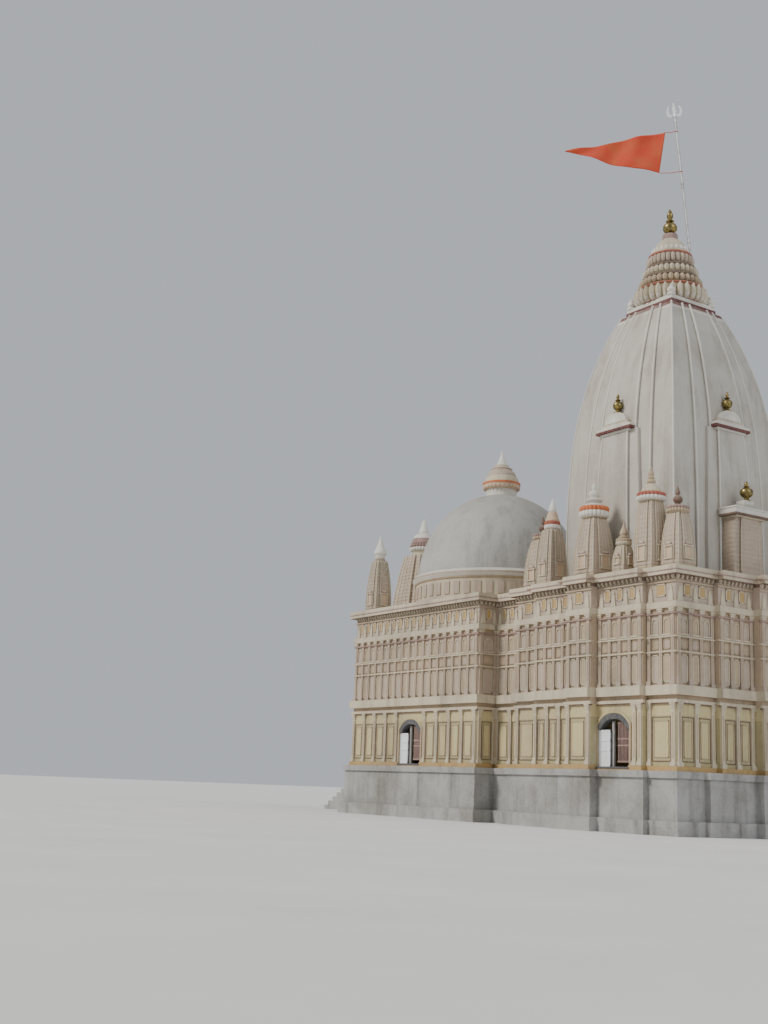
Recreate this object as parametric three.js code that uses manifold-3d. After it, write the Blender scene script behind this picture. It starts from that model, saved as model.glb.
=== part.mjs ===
// Plastered North Indian temple: a curved spire over the shrine room, a domed hall before it,
// and small spires along the wall tops. Millimetres, +Z up. The origin is on the spire's axis
// at ground level; the entrance faces -Y and the temple is the same left and right of X = 0.
import * as THREE from "three";
import { mergeVertices } from "three/addons/utils/BufferGeometryUtils.js";
import Module from "manifold-3d";

const wasm = await Module();
wasm.setup();

// Clearance between pieces that rest on or meet each other
const SEAT = 0.3;

// Heights
const PLINTH_TOP = 1650;
const WALL_TOP = 7100;
const SPIRE_TOP = 15850;

// Plinth
const FOOT_HEIGHT = 380;
const FOOT_REACH = 300;
const PLINTH_REACH = 160;

// Shrine walls: room, outer faces of the corner piers, of the bays and of the middle projections
const ROOM_HALF = 1850;
const PIER_FACE = 3300;
const BAY_FACE = 3480;
const BAY_HALF = 2250;
const MIDDLE_FACE = 3760;
const MIDDLE_HALF = 500;

// Link between shrine and hall
const LINK_OUTER = 2900;
const LINK_INNER = 2100;

// Hall
const HALL_HALF = 3650;
const HALL_WALL = 600;
const HALL_REAR = -4800;
const HALL_FRONT = -12000;
const HALL_MID = (HALL_REAR + HALL_FRONT) / 2;
const SLAB = 250;

// Porch and steps
const PORCH_HALF = 2000;
const PORCH_FRONT = -14300;
const COLUMN_X = 1550;
const COLUMN_Y = -13850;
const PORCH_ROOF_UNDERSIDE = 5350;
const PORCH_ROOF_TOP = 5800;
const STEP_COUNT = 10;
const STEP_GOING = 300;
const STEP_HALF = 1500;

// Doorways and arched windows
const HALL_DOOR_HALF = 900;
const HALL_DOOR_HEIGHT = 2900;
const SHRINE_DOOR_HALF = 600;
const SHRINE_DOOR_HEIGHT = 2300;
const WINDOW_HALF = 620;
const WINDOW_SPRING = 2880;
const WINDOW_CROWN = 3190;
const SHRINE_WINDOW_Y = 1140;
const WINDOW_SILL = PLINTH_TOP + 90;
const LEAF_THICK = 50;
const LEAF_SET_BACK = 20;
const LEAF_WIDE = 450;
const LEAF_TOP = 2740;

// Mouldings that run round the walls: height from, height to, reach
const CORNICE_REACH = 200;
const BANDS = [
  [PLINTH_TOP, PLINTH_TOP + 130, 70],
  [3640, 3900, 120],
  [5960, 6140, 70],
  [6850, WALL_TOP, CORNICE_REACH],
];

// Main spire
const SPIRE_HALF = 2260;
const SPIRE_SHELL = 410;
const SPIRE_NARROWING = 0.52;
const SPIRE_CURVE = 3.35;
const SPIRE_STEPS = 11;
// Steps of the spire's plan: where each begins along a face, and how far out it stands
const SPIRE_FACES = [[0.61, 1.03], [0.34, 1.06]];

// Spires set against the four faces of the main spire
const FACE_SPIRE_HALF = 1080;
const FACE_SPIRE_FACE = 2520;
const FACE_SPIRE_EAVE = 11650;
const EAVE_THICK = 160;
const EAVE_HALF = 730;
const EAVE_REACH = 120;
const FACE_SPIRE_NARROWING = 0.2;
const GABLE_HALF = 560;
const GABLE_REACH = 30;
const GABLE_TOP = 12260;
const KALASHA_SET_BACK = 110;

// Half spire on the wall top, against the rear face spire
const REAR_HALF = 620;
const REAR_STRIP = 380;
const REAR_FACE = 3050;
const REAR_STEP = 60;
const REAR_EAVE = 8930;
const REAR_EAVE_TOP = 9180;
const REAR_EAVE_HALF = 720;
const REAR_EAVE_REACH = 100;
const REAR_NARROWING = 0.12;
const REAR_PEDESTAL_HALF = 240;
const REAR_PEDESTAL_TOP = 9420;
const REAR_KALASHA_PLACE = 2930;

// Crown of the spire
const CROWN_BASE = 16150;
const CROWN_TOP = 18480;
// Rings of the crown: height from, height to, radius at the waist and at the rim
const CROWN_RINGS = [
  [CROWN_BASE, 16860, 880, 1120],
  [16860, 17270, 840, 970],
  [17270, 17600, 720, 800],
  [17600, 17970, 640, 730],
  [17970, CROWN_TOP, 520, 560],
];
const SHOULDER_HALF = 980;
const KNOB_INSET = 120;

// Flagpole and flag: places as distance across, along (1, -1), and height
const POLE_RADIUS = 38;
const POLE_FOOT = [-640, 17800];
const POLE_TIP = [-180, 22760];
const FLAG_HOIST = [[130, 22250], [330, 20860]];
const FLAG_POINT = [3400, 21790];
const FLAG_THICK = 24;
const FLAG_TIE_HALF = 15;

// Dome over the hall
const DRUM_TOP = 8300;
const DRUM_RADIUS = 2980;
const DRUM_WALL = 450;
const DRUM_LIP = 125;
const DOME_RADIUS = 2900;
const DOME_RISE = 3120;
const DOME_SHELL = 230;
const DOME_SEGMENTS = 24;
const DOME_COURSES = 7;
const DOME_FLAT = 60;

// Outlines of turned pieces: radius, and height over the piece's foot
const DOME_CROWN = [
  [560, 0], [550, 90], [540, 290], [650, 380], [675, 480], [655, 590], [620, 640], [600, 680],
  [540, 760], [0, 760],
];
const DOME_FINIAL = [
  [540, 0], [500, 100], [365, 290], [250, 390], [170, 500], [150, 560], [90, 700], [0, 1000],
];
const GABLE_KALASHA = [
  [130, 0], [150, 50], [80, 130], [170, 270], [165, 360], [60, 450], [70, 500], [0, 620],
];
const REAR_KALASHA = [
  [120, 0], [140, 40], [80, 90], [185, 200], [190, 290], [90, 390], [60, 430], [75, 470], [0, 580],
];
const SHOULDER_KNOB = [[110, 0], [130, 150], [70, 280], [0, 400]];
const SPIRE_KALASHA = [
  [210, 0], [230, 70], [120, 190], [150, 260], [235, 430], [225, 560], [110, 680], [140, 740], [90, 830],
  [0, 1100],
];

// Right half of the trident's outline: distance from its middle, and height over the pole's tip
const TRIDENT_HALF = [
  [30, 0], [30, 60], [60, 72], [110, 34], [172, 40], [226, 110], [250, 210], [240, 320], [205, 395],
  [150, 450], [166, 360], [178, 265], [170, 185], [140, 134], [95, 116], [22, 136], [26, 170],
  [52, 240], [48, 340], [20, 455], [0, 560],
];
const TRIDENT_THICK = 26;

const temple = new THREE.Group();

function toSolid(geometry) {
  const bare = geometry.clone();
  bare.deleteAttribute("normal");
  bare.deleteAttribute("uv");
  const merged = mergeVertices(bare, 0.01);
  const corners = merged.index.array;
  const places = merged.attributes.position.array;
  const kept = [];
  let volume = 0;
  const [a, b, c] = [new THREE.Vector3(), new THREE.Vector3(), new THREE.Vector3()];
  for (let i = 0; i < corners.length; i += 3) {
    const [p, q, r] = [corners[i], corners[i + 1], corners[i + 2]];
    if (p === q || q === r || r === p) continue;
    a.fromArray(places, 3 * p);
    b.fromArray(places, 3 * q);
    c.fromArray(places, 3 * r);
    volume += a.dot(b.cross(c));
    kept.push(p, q, r);
  }
  if (volume < 0) kept.reverse();
  const mesh = new wasm.Mesh({
    numProp: 3,
    vertProperties: new Float32Array(places),
    triVerts: new Uint32Array(kept),
  });
  return new wasm.Manifold(mesh);
}

function toGeometry(solid) {
  const mesh = solid.getMesh();
  const geometry = new THREE.BufferGeometry();
  geometry.setAttribute("position", new THREE.BufferAttribute(new Float32Array(mesh.vertProperties), 3));
  geometry.setIndex(new THREE.BufferAttribute(new Uint32Array(mesh.triVerts), 1));
  geometry.computeVertexNormals();
  return geometry;
}

function joined(solids) {
  return solids.reduce((whole, piece) => whole.add(piece));
}

function block(x0, x1, y0, y1, z0, z1) {
  const box = new THREE.BoxGeometry(x1 - x0, y1 - y0, z1 - z0);
  box.translate((x0 + x1) / 2, (y0 + y1) / 2, (z0 + z1) / 2);
  return toSolid(box);
}

function prism(points, z0, z1, steps = 1) {
  const shape = new THREE.Shape(points.map(([x, y]) => new THREE.Vector2(x, y)));
  const body = new THREE.ExtrudeGeometry(shape, { depth: z1 - z0, steps, bevelEnabled: false });
  body.translate(0, 0, z0);
  return body;
}

// Draws an upright body in as it rises, along Y by widthAt and along X by depthAt
function drawnIn(geometry, z0, z1, widthAt, depthAt = widthAt) {
  const place = geometry.attributes.position;
  for (let i = 0; i < place.count; i += 1) {
    const t = (place.getZ(i) - z0) / (z1 - z0);
    place.setXY(i, place.getX(i) * depthAt(t), place.getY(i) * widthAt(t));
  }
  return geometry;
}

function turned(profile, segments) {
  const points = profile.map(([radius, z]) => new THREE.Vector2(radius, z));
  const body = new THREE.LatheGeometry(points, segments);
  body.rotateX(Math.PI / 2);
  return toSolid(body);
}

function turnedOn(foot, outline, segments) {
  return turned([[0, foot], ...outline.map(([radius, rise]) => [radius, foot + rise])], segments);
}

function heightOf(outline) {
  return outline[outline.length - 1][1];
}

function moved(solid, x, y, z = 0) {
  return solid.translate([x, y, z]);
}

function addPiece(name, solid, colour, roughness = 0.85, metalness = 0) {
  const material = new THREE.MeshStandardMaterial({ color: colour, roughness, metalness });
  const mesh = new THREE.Mesh(toGeometry(solid), material);
  mesh.name = name;
  temple.add(mesh);
}

const PLASTER = 0xcfc7b6;
const CREAM = 0xdcc79c;
const STONE_GREY = 0x9b968c;
const WHITE = 0xe9e7e0;
const BRASS = 0xb08d3c;
const STEEL = 0xb9bcbf;
const SAFFRON = 0xd9481c;

// Both sides of the temple, as a name ending and a direction along X
const SIDES = [["left", -1], ["right", 1]];

function mirrored(x0, x1, side) {
  return side > 0 ? [x0, x1] : [-x1, -x0];
}

// Plinth: a footing course and the raised body whose top is the temple's floor
function planOutline(reach) {
  const quarter = [
    [MIDDLE_HALF + reach, MIDDLE_FACE + reach],
    [MIDDLE_HALF + reach, BAY_FACE + reach],
    [BAY_HALF + reach, BAY_FACE + reach],
    [BAY_HALF + reach, PIER_FACE + reach],
    [PIER_FACE + reach, PIER_FACE + reach],
    [PIER_FACE + reach, BAY_HALF + reach],
    [BAY_FACE + reach, BAY_HALF + reach],
    [BAY_FACE + reach, MIDDLE_HALF + reach],
    [MIDDLE_FACE + reach, MIDDLE_HALF + reach],
    [MIDDLE_FACE + reach, -MIDDLE_HALF - reach],
    [BAY_FACE + reach, -MIDDLE_HALF - reach],
    [BAY_FACE + reach, -BAY_HALF - reach],
    [PIER_FACE + reach, -BAY_HALF - reach],
    [PIER_FACE + reach, -PIER_FACE - reach],
    [LINK_OUTER + reach, -PIER_FACE - reach],
    [LINK_OUTER + reach, HALL_REAR + reach],
    [HALL_HALF + reach, HALL_REAR + reach],
    [HALL_HALF + reach, HALL_FRONT - reach],
    [PORCH_HALF + reach, HALL_FRONT - reach],
    [PORCH_HALF + reach, PORCH_FRONT - reach],
  ];
  const other = quarter.map(([x, y]) => [-x, y]).reverse();
  return [...quarter, ...other];
}

function makePlinth() {
  const foot = toSolid(prism(planOutline(FOOT_REACH), 0, FOOT_HEIGHT));
  addPiece("plinth_foot", foot, STONE_GREY);
  const lowest = FOOT_HEIGHT + SEAT;
  const body = toSolid(prism(planOutline(PLINTH_REACH), lowest, PLINTH_TOP));
  const lip = toSolid(prism(planOutline(PLINTH_REACH + 70), PLINTH_TOP - 180, PLINTH_TOP));
  addPiece("plinth", body.add(lip), STONE_GREY);
}

function makeSteps() {
  const rise = PLINTH_TOP / STEP_COUNT;
  const back = PORCH_FRONT - FOOT_REACH - SEAT;
  const treads = [];
  for (let i = 0; i < STEP_COUNT - 1; i += 1) {
    const front = back - STEP_GOING * (STEP_COUNT - 1 - i);
    treads.push(block(-STEP_HALF, STEP_HALF, front, back, rise * i, rise * (i + 1)));
  }
  addPiece("front_steps", joined(treads), STONE_GREY);
}

// A wall with the mouldings on its outer sides; the sides are named by their direction
function bandedWall(x0, x1, y0, y1, outer, top = WALL_TOP) {
  const foot = PLINTH_TOP + SEAT;
  const solids = [block(x0, x1, y0, y1, foot, top)];
  for (const [from, to, reach] of BANDS) {
    const west = outer.includes("-x") ? reach : 0;
    const east = outer.includes("+x") ? reach : 0;
    const south = outer.includes("-y") ? reach : 0;
    const north = outer.includes("+y") ? reach : 0;
    solids.push(block(x0 - west, x1 + east, y0 - south, y1 + north, Math.max(from, foot), Math.min(to, top)));
  }
  return joined(solids);
}

// An arched opening that runs through a wall along X
function archedCut(y, half, sill, spring, crown, x0, x1) {
  const shape = new THREE.Shape();
  shape.moveTo(-half, sill);
  shape.lineTo(half, sill);
  shape.lineTo(half, spring);
  shape.quadraticCurveTo(half * 0.8, crown - (crown - spring) * 0.15, 0, crown);
  shape.quadraticCurveTo(-half * 0.8, crown - (crown - spring) * 0.15, -half, spring);
  shape.closePath();
  const body = new THREE.ExtrudeGeometry(shape, { depth: x1 - x0, bevelEnabled: false, curveSegments: 4 });
  body.rotateX(Math.PI / 2);
  body.rotateZ(Math.PI / 2);
  body.translate(x0, y, 0);
  return toSolid(body);
}

function makeShrineWalls() {
  for (const [side, way] of SIDES) {
    const facing = way > 0 ? "+x" : "-x";
    const pier = mirrored(ROOM_HALF, PIER_FACE, way);
    const bay = mirrored(ROOM_HALF, BAY_FACE, way);
    const middle = mirrored(ROOM_HALF, MIDDLE_FACE, way);
    const cut = mirrored(ROOM_HALF - 100, MIDDLE_FACE + 300, way);
    const corner = mirrored(LINK_OUTER, PIER_FACE, way);
    const wall = joined([
      bandedWall(...pier, -PIER_FACE, PIER_FACE, [facing, "+y"]),
      bandedWall(...corner, -PIER_FACE, 0, [facing, "-y"]),
      bandedWall(...bay, -BAY_HALF, BAY_HALF, [facing]),
      bandedWall(...middle, -MIDDLE_HALF, MIDDLE_HALF, [facing]),
    ]);
    const window = archedCut(
      SHRINE_WINDOW_Y, WINDOW_HALF, WINDOW_SILL, WINDOW_SPRING, WINDOW_CROWN, ...cut,
    );
    addPiece(`shrine_wall_${side}`, wall.subtract(window), CREAM);
    makeWindowLeaf(`shrine_window_leaf_${side}`, way, SHRINE_WINDOW_Y, BAY_FACE);
  }
  const inset = ROOM_HALF - SEAT;
  const rear = joined([
    bandedWall(-inset, inset, ROOM_HALF, BAY_FACE, ["+y"]),
    bandedWall(-MIDDLE_HALF, MIDDLE_HALF, ROOM_HALF, MIDDLE_FACE, ["+y"]),
  ]);
  addPiece("shrine_wall_rear", rear, CREAM);
  const doorway = block(
    -SHRINE_DOOR_HALF, SHRINE_DOOR_HALF, -PIER_FACE - 400, 0, 0, PLINTH_TOP + SHRINE_DOOR_HEIGHT,
  );
  const front = block(-inset, inset, -PIER_FACE, -ROOM_HALF, PLINTH_TOP + SEAT, WALL_TOP);
  addPiece("shrine_wall_front", front.subtract(doorway), CREAM);
}

// White leaf that fills the part of an arched window nearer the hall
function makeWindowLeaf(name, way, y, face) {
  const place = mirrored(face - LEAF_SET_BACK - LEAF_THICK, face - LEAF_SET_BACK, way);
  const from = y - WINDOW_HALF + SEAT;
  const leaf = block(...place, from, from + LEAF_WIDE, WINDOW_SILL + SEAT, LEAF_TOP);
  addPiece(name, leaf, WHITE, 0.5);
}

// A solid cut back from its neighbours, with the seat's clearance along Y and Z
function clearOf(solid, ...names) {
  const shifts = [[0, SEAT, 0], [0, -SEAT, 0], [0, 0, SEAT], [0, 0, -SEAT]];
  let rest = solid;
  for (const name of names) {
    const neighbour = toSolid(temple.getObjectByName(name).geometry);
    for (const shift of shifts) rest = rest.subtract(neighbour.translate(shift));
  }
  return rest;
}

function makeLink() {
  const rear = -PIER_FACE - SEAT;
  const front = HALL_REAR + SEAT;
  const top = WALL_TOP - SLAB - SEAT;
  for (const [side, way] of SIDES) {
    const facing = way > 0 ? "+x" : "-x";
    const wall = bandedWall(...mirrored(LINK_INNER, LINK_OUTER, way), front, rear, [facing], top);
    addPiece(`link_wall_${side}`, clearOf(wall, `shrine_wall_${side}`, `hall_wall_${side}`), CREAM);
  }
  const half = LINK_OUTER + CORNICE_REACH;
  const roof = block(-half, half, front, rear, top + SEAT, WALL_TOP);
  const sides = ["shrine_wall_left", "shrine_wall_right", "hall_roof"];
  addPiece("link_roof", clearOf(roof, ...sides), CREAM);
}

function makeHall() {
  const inner = HALL_HALF - HALL_WALL;
  const top = WALL_TOP - SLAB - SEAT;
  for (const [side, way] of SIDES) {
    const facing = way > 0 ? "+x" : "-x";
    const place = [...mirrored(inner, HALL_HALF, way), HALL_FRONT, HALL_REAR];
    const wall = bandedWall(...place, [facing, "+y", "-y"], top);
    const cut = mirrored(inner - 100, HALL_HALF + 300, way);
    const window = archedCut(
      HALL_MID, WINDOW_HALF, WINDOW_SILL, WINDOW_SPRING, WINDOW_CROWN, ...cut,
    );
    addPiece(`hall_wall_${side}`, wall.subtract(window), CREAM);
    makeWindowLeaf(`hall_window_leaf_${side}`, way, HALL_MID, HALL_HALF);
    const rear = mirrored(LINK_INNER, inner - SEAT, way);
    const foot = PLINTH_TOP + SEAT;
    addPiece(`hall_rear_wall_${side}`, block(...rear, HALL_REAR - HALL_WALL, HALL_REAR, foot, top), CREAM);
  }
  const face = inner - SEAT;
  const doorway = block(
    -HALL_DOOR_HALF, HALL_DOOR_HALF, HALL_FRONT - 400, HALL_FRONT + 1000, 0, PLINTH_TOP + HALL_DOOR_HEIGHT,
  );
  const front = bandedWall(-face, face, HALL_FRONT, HALL_FRONT + HALL_WALL, ["-y"], top);
  addPiece("hall_front_wall", front.subtract(doorway), CREAM);
  const reach = CORNICE_REACH;
  const slab = block(
    -HALL_HALF - reach, HALL_HALF + reach, HALL_FRONT - reach, HALL_REAR + reach, top + SEAT, WALL_TOP,
  );
  const inside = DRUM_RADIUS - DRUM_WALL;
  const well = turned([[0, top], [inside, top], [inside, DRUM_TOP], [0, DRUM_TOP]], DOME_SEGMENTS);
  addPiece("hall_roof", slab.subtract(moved(well, 0, HALL_MID)), CREAM);
}

// Drum, dome and finial over the hall
function makeDome() {
  const foot = WALL_TOP + SEAT;
  const inner = DRUM_RADIUS - DRUM_WALL;
  const lip = DRUM_RADIUS + DRUM_LIP;
  const drum = turned([
    [inner, foot], [lip, foot], [lip, foot + 240], [DRUM_RADIUS, foot + 300],
    [DRUM_RADIUS, DRUM_TOP - 320], [lip, DRUM_TOP - 230], [lip, DRUM_TOP - 80],
    [DRUM_RADIUS, DRUM_TOP], [inner, DRUM_TOP], [inner, foot],
  ], DOME_SEGMENTS);
  addPiece("dome_drum", moved(drum, 0, HALL_MID), CREAM);
  const outside = [];
  const inside = [];
  const springing = DRUM_TOP + SEAT;
  for (let i = 0; i <= DOME_COURSES; i += 1) {
    const angle = (i / DOME_COURSES) * Math.PI / 2;
    const across = i < DOME_COURSES ? Math.cos(angle) : 0;
    outside.push([DOME_RADIUS * across, springing + DOME_RISE * Math.sin(angle)]);
    inside.push([
      (DOME_RADIUS - DOME_SHELL) * across,
      springing + (DOME_RISE - DOME_SHELL) * Math.sin(angle),
    ]);
  }
  const shell = turned([...outside, ...inside.reverse(), outside[0]], DOME_SEGMENTS);
  const flat = DRUM_TOP + DOME_RISE - DOME_FLAT;
  const cap = block(-DOME_RADIUS, DOME_RADIUS, -DOME_RADIUS, DOME_RADIUS, flat, flat + DOME_RISE);
  addPiece("dome", moved(shell.subtract(cap), 0, HALL_MID), PLASTER);
  const seat = flat + SEAT;
  addPiece("dome_crown", moved(turnedOn(seat, DOME_CROWN, 16), 0, HALL_MID), PLASTER);
  const base = seat + heightOf(DOME_CROWN) + SEAT;
  addPiece("dome_finial", moved(turnedOn(base, DOME_FINIAL, 12), 0, HALL_MID), PLASTER);
}

// Square plan whose faces step out towards their middles, one unit to the corner piers
function steppedPlan(half, steps) {
  const face = [[half, half]];
  for (const [from, out] of steps) {
    const last = face[face.length - 1][0];
    face.push([last, from * half], [out * half, from * half]);
  }
  const back = face.slice(1).map(([x, y]) => [x, -y]).reverse();
  const side = [...face, ...back];
  const whole = [];
  for (let turn = 0; turn < 4; turn += 1) {
    const angle = -turn * Math.PI / 2;
    for (const [x, y] of side) {
      const [c, s] = [Math.round(Math.cos(angle)), Math.round(Math.sin(angle))];
      whole.push([x * c - y * s, x * s + y * c]);
    }
  }
  return whole.reverse();
}

function spireWidth(t) {
  return 1 - SPIRE_NARROWING * Math.pow(Math.min(Math.max(t, 0), 1), SPIRE_CURVE);
}

function spireBody(grow = 0) {
  const foot = WALL_TOP + SEAT;
  const plan = steppedPlan(SPIRE_HALF + grow, SPIRE_FACES);
  return toSolid(drawnIn(prism(plan, foot, SPIRE_TOP, SPIRE_STEPS), foot, SPIRE_TOP, spireWidth));
}

function makeSpire() {
  const foot = WALL_TOP + SEAT;
  const hollow = SPIRE_HALF - SPIRE_SHELL;
  const square = [[-hollow, -hollow], [hollow, -hollow], [hollow, hollow], [-hollow, hollow]];
  const room = prism(square, foot - 1, SPIRE_TOP - 300, SPIRE_STEPS);
  drawnIn(room, foot, SPIRE_TOP, (t) => spireWidth(t + 0.04));
  addPiece("spire", spireBody().subtract(toSolid(room)), PLASTER);
}

// A half spire on each face, under a projecting eave, with its own small gable and finial
function makeFaceSpires() {
  const foot = WALL_TOP + SEAT;
  const main = spireBody(SEAT);
  const rise = FACE_SPIRE_EAVE - foot;
  const depthAt = (t) => spireWidth((t * rise) / (SPIRE_TOP - foot));
  const widthAt = (t) => 1 - FACE_SPIRE_NARROWING * Math.pow(Math.max(t, 0), 2.6);
  const places = [["right", 0], ["rear", 90], ["left", 180], ["front", 270]];
  const edge = FACE_SPIRE_HALF;
  const strip = edge * 0.6;
  const low = FACE_SPIRE_FACE - 70;
  const plan = [
    [0, -edge], [low, -edge], [low, -strip], [FACE_SPIRE_FACE, -strip],
    [FACE_SPIRE_FACE, strip], [low, strip], [low, edge], [0, edge],
  ];
  const face = FACE_SPIRE_FACE * depthAt(1);
  const body = prism(plan, foot, FACE_SPIRE_EAVE, 6);
  drawnIn(body, foot, FACE_SPIRE_EAVE, widthAt, depthAt);
  const eaveTop = FACE_SPIRE_EAVE + EAVE_THICK;
  const eave = block(0, face + EAVE_REACH, -EAVE_HALF, EAVE_HALF, FACE_SPIRE_EAVE - 10, eaveTop);
  const gable = block(0, face + GABLE_REACH, -GABLE_HALF, GABLE_HALF, eaveTop - 10, GABLE_TOP);
  const kalasha = turnedOn(GABLE_TOP - 10, GABLE_KALASHA, 12);
  const whole = joined([toSolid(body), eave, gable, moved(kalasha, face - KALASHA_SET_BACK, 0)]);
  for (const [name, degrees] of places) {
    addPiece(`face_spire_${name}`, whole.rotate([0, 0, degrees]).subtract(main), PLASTER);
  }
}

// Shoulder slab with its corner knobs, the ringed crown and the brass kalasha
function makeCrown() {
  const foot = SPIRE_TOP + SEAT;
  const slab = block(-SHOULDER_HALF, SHOULDER_HALF, -SHOULDER_HALF, SHOULDER_HALF, foot, CROWN_BASE);
  const knobs = [];
  const knob = turnedOn(CROWN_BASE - 20, SHOULDER_KNOB, 10);
  const corner = SHOULDER_HALF - KNOB_INSET;
  for (const [x, y] of [[1, 1], [1, -1], [-1, 1], [-1, -1]]) {
    knobs.push(moved(knob, x * corner, y * corner));
  }
  addPiece("spire_shoulder", joined([slab, ...knobs]), PLASTER);
  const seat = CROWN_BASE + SEAT;
  const profile = [[0, seat]];
  CROWN_RINGS.forEach(([low, high, waist, rim]) => {
    const rise = high - low;
    profile.push([waist, low === CROWN_BASE ? seat : low]);
    profile.push([rim, low + rise * 0.3], [rim * 0.97, low + rise * 0.75]);
  });
  profile.push([300, CROWN_TOP], [0, CROWN_TOP]);
  addPiece("spire_crown", turned(profile, 18), PLASTER);
  addPiece("spire_kalasha", turnedOn(CROWN_TOP + SEAT, SPIRE_KALASHA, 12), BRASS, 0.35, 0.9);
}

function rod(from, to, radius, sides) {
  const path = new THREE.LineCurve3(new THREE.Vector3(...from), new THREE.Vector3(...to));
  const round = new THREE.Shape();
  for (let i = 0; i < sides; i += 1) {
    const angle = (i / sides) * Math.PI * 2;
    const [x, y] = [radius * Math.cos(angle), radius * Math.sin(angle)];
    if (i) round.lineTo(x, y);
    else round.moveTo(x, y);
  }
  round.closePath();
  return toSolid(new THREE.ExtrudeGeometry(round, { steps: 1, extrudePath: path, bevelEnabled: false }));
}

// A flat outline in the upright plane of pole and flag: across is along (1, -1), up is Z
function upright(points, thick) {
  const shape = new THREE.Shape(points.map(([across, z]) => new THREE.Vector2(across, z)));
  const body = new THREE.ExtrudeGeometry(shape, { depth: thick, bevelEnabled: false });
  body.translate(0, 0, -thick / 2);
  body.rotateX(Math.PI / 2);
  body.rotateZ(-Math.PI / 4);
  return toSolid(body);
}

function poleAcross(z) {
  const t = (z - POLE_FOOT[1]) / (POLE_TIP[1] - POLE_FOOT[1]);
  return POLE_FOOT[0] + (POLE_TIP[0] - POLE_FOOT[0]) * t;
}

// A leaning steel pole that stands on the crown's fourth ring, a trident on its tip and a flag
function makeFlag() {
  const corner = (across, z) => [across / Math.SQRT2, -across / Math.SQRT2, z];
  const pole = rod(corner(...POLE_FOOT), corner(...POLE_TIP), POLE_RADIUS, 10);
  const ring = toSolid(temple.getObjectByName("spire_crown").geometry);
  addPiece("flagpole", pole.subtract(ring).subtract(moved(ring, 0, 0, SEAT)), STEEL, 0.4, 0.9);
  const lean = Math.atan2(POLE_TIP[0] - POLE_FOOT[0], POLE_TIP[1] - POLE_FOOT[1]);
  const [s, c] = [Math.sin(lean), Math.cos(lean)];
  const outline = [
    ...TRIDENT_HALF,
    ...TRIDENT_HALF.slice(0, -1).reverse().map(([x, z]) => [-x, z]),
  ].map(([x, z]) => [POLE_TIP[0] + x * c + (z + SEAT) * s, POLE_TIP[1] - x * s + (z + SEAT) * c]);
  addPiece("trident", upright(outline, TRIDENT_THICK), STEEL, 0.4, 0.9);
  const [high, low] = FLAG_HOIST;
  const tieEnd = (z) => [poleAcross(z) + POLE_RADIUS, z];
  const tie = FLAG_TIE_HALF;
  const cloth = [
    tieEnd(high[1] + tie), [high[0], high[1] + tie], FLAG_POINT, [low[0], low[1] - tie],
    tieEnd(low[1] - tie), tieEnd(low[1] + tie), [low[0] + tie, low[1] + tie],
    [high[0] + tie, high[1] - tie], tieEnd(high[1] - tie),
  ];
  addPiece("flag", upright(cloth, FLAG_THICK), SAFFRON, 0.9);
}

// Small spire: a stepped body that curves in, and a turned top with a disc or ring and a finial
function smallSpire(half, foot, top) {
  const neck = top[0][1];
  const plan = steppedPlan(half, [[0.5, 1.12]]);
  const width = (t) => 1 - 0.42 * Math.pow(Math.min(Math.max(t, 0), 1), 2.4);
  const body = toSolid(drawnIn(prism(plan, foot, neck + 20, 3), foot, neck, width));
  return body.add(turned([[0, neck], ...top], 10));
}

// Tops of the small spires: radius and height over the ground, from the neck of the body upwards
const WIDE_DISC = [
  [360, 8880], [450, 9000], [436, 9150], [250, 9240], [240, 9440], [150, 9480], [165, 9660],
  [60, 9720], [70, 9860], [0, 9950],
];
const TALL_DISC = [
  [320, 9060], [400, 9150], [390, 9250], [140, 9320], [110, 9420], [120, 9580], [60, 9660],
  [90, 9800], [70, 9960], [0, 10080],
];
const LOW_DISC = [
  [264, 8650], [330, 8720], [320, 8800], [106, 8850], [139, 9050], [46, 9226], [0, 9420],
];
const SIDE_RING = [
  [200, 8780], [250, 8850], [250, 9040], [230, 9110], [130, 9330], [95, 9360], [85, 9540],
  [30, 9700], [0, 9750],
];
const HALL_RING = [
  [180, 9000], [240, 9040], [240, 9160], [170, 9190], [230, 9270], [225, 9340], [110, 9600],
  [60, 9750], [0, 9950],
];
const LOW_RING = [
  [184, 7900], [230, 7970], [223, 8050], [74, 8100], [97, 8275], [32, 8430], [0, 8600],
];
const PORCH_TOP = [
  [450, 9790], [440, 9950], [520, 9980], [550, 10120], [520, 10250], [430, 10260], [350, 10450],
  [275, 10650], [215, 10730], [160, 10860], [100, 11100], [0, 11280],
];

const SMALL_SPIRES = [
  { name: "side_spire", x: 3200, y: 0, half: 430, top: WIDE_DISC },
  { name: "corner_disc_spire", x: 3060, y: 2170, half: 350, top: TALL_DISC },
  { name: "side_pinnacle", x: 3250, y: -1800, half: 330, top: SIDE_RING },
  { name: "low_pinnacle", x: 3240, y: 1270, half: 240, top: LOW_RING },
  { name: "hall_pinnacle", x: 3150, y: -11450, half: 340, top: HALL_RING },
  { name: "rear_corner_spire", x: 2820, y: 2950, half: 340, top: LOW_DISC },
  { name: "front_corner_spire", x: 2780, y: -2780, half: 420, top: LOW_DISC },
];

function makeSmallSpires() {
  const foot = WALL_TOP + SEAT;
  for (const one of SMALL_SPIRES) {
    const body = smallSpire(one.half, foot, one.top);
    for (const [side, way] of SIDES) {
      addPiece(`${one.name}_${side}`, moved(body, way * one.x, one.y), CREAM);
    }
  }
}

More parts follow.
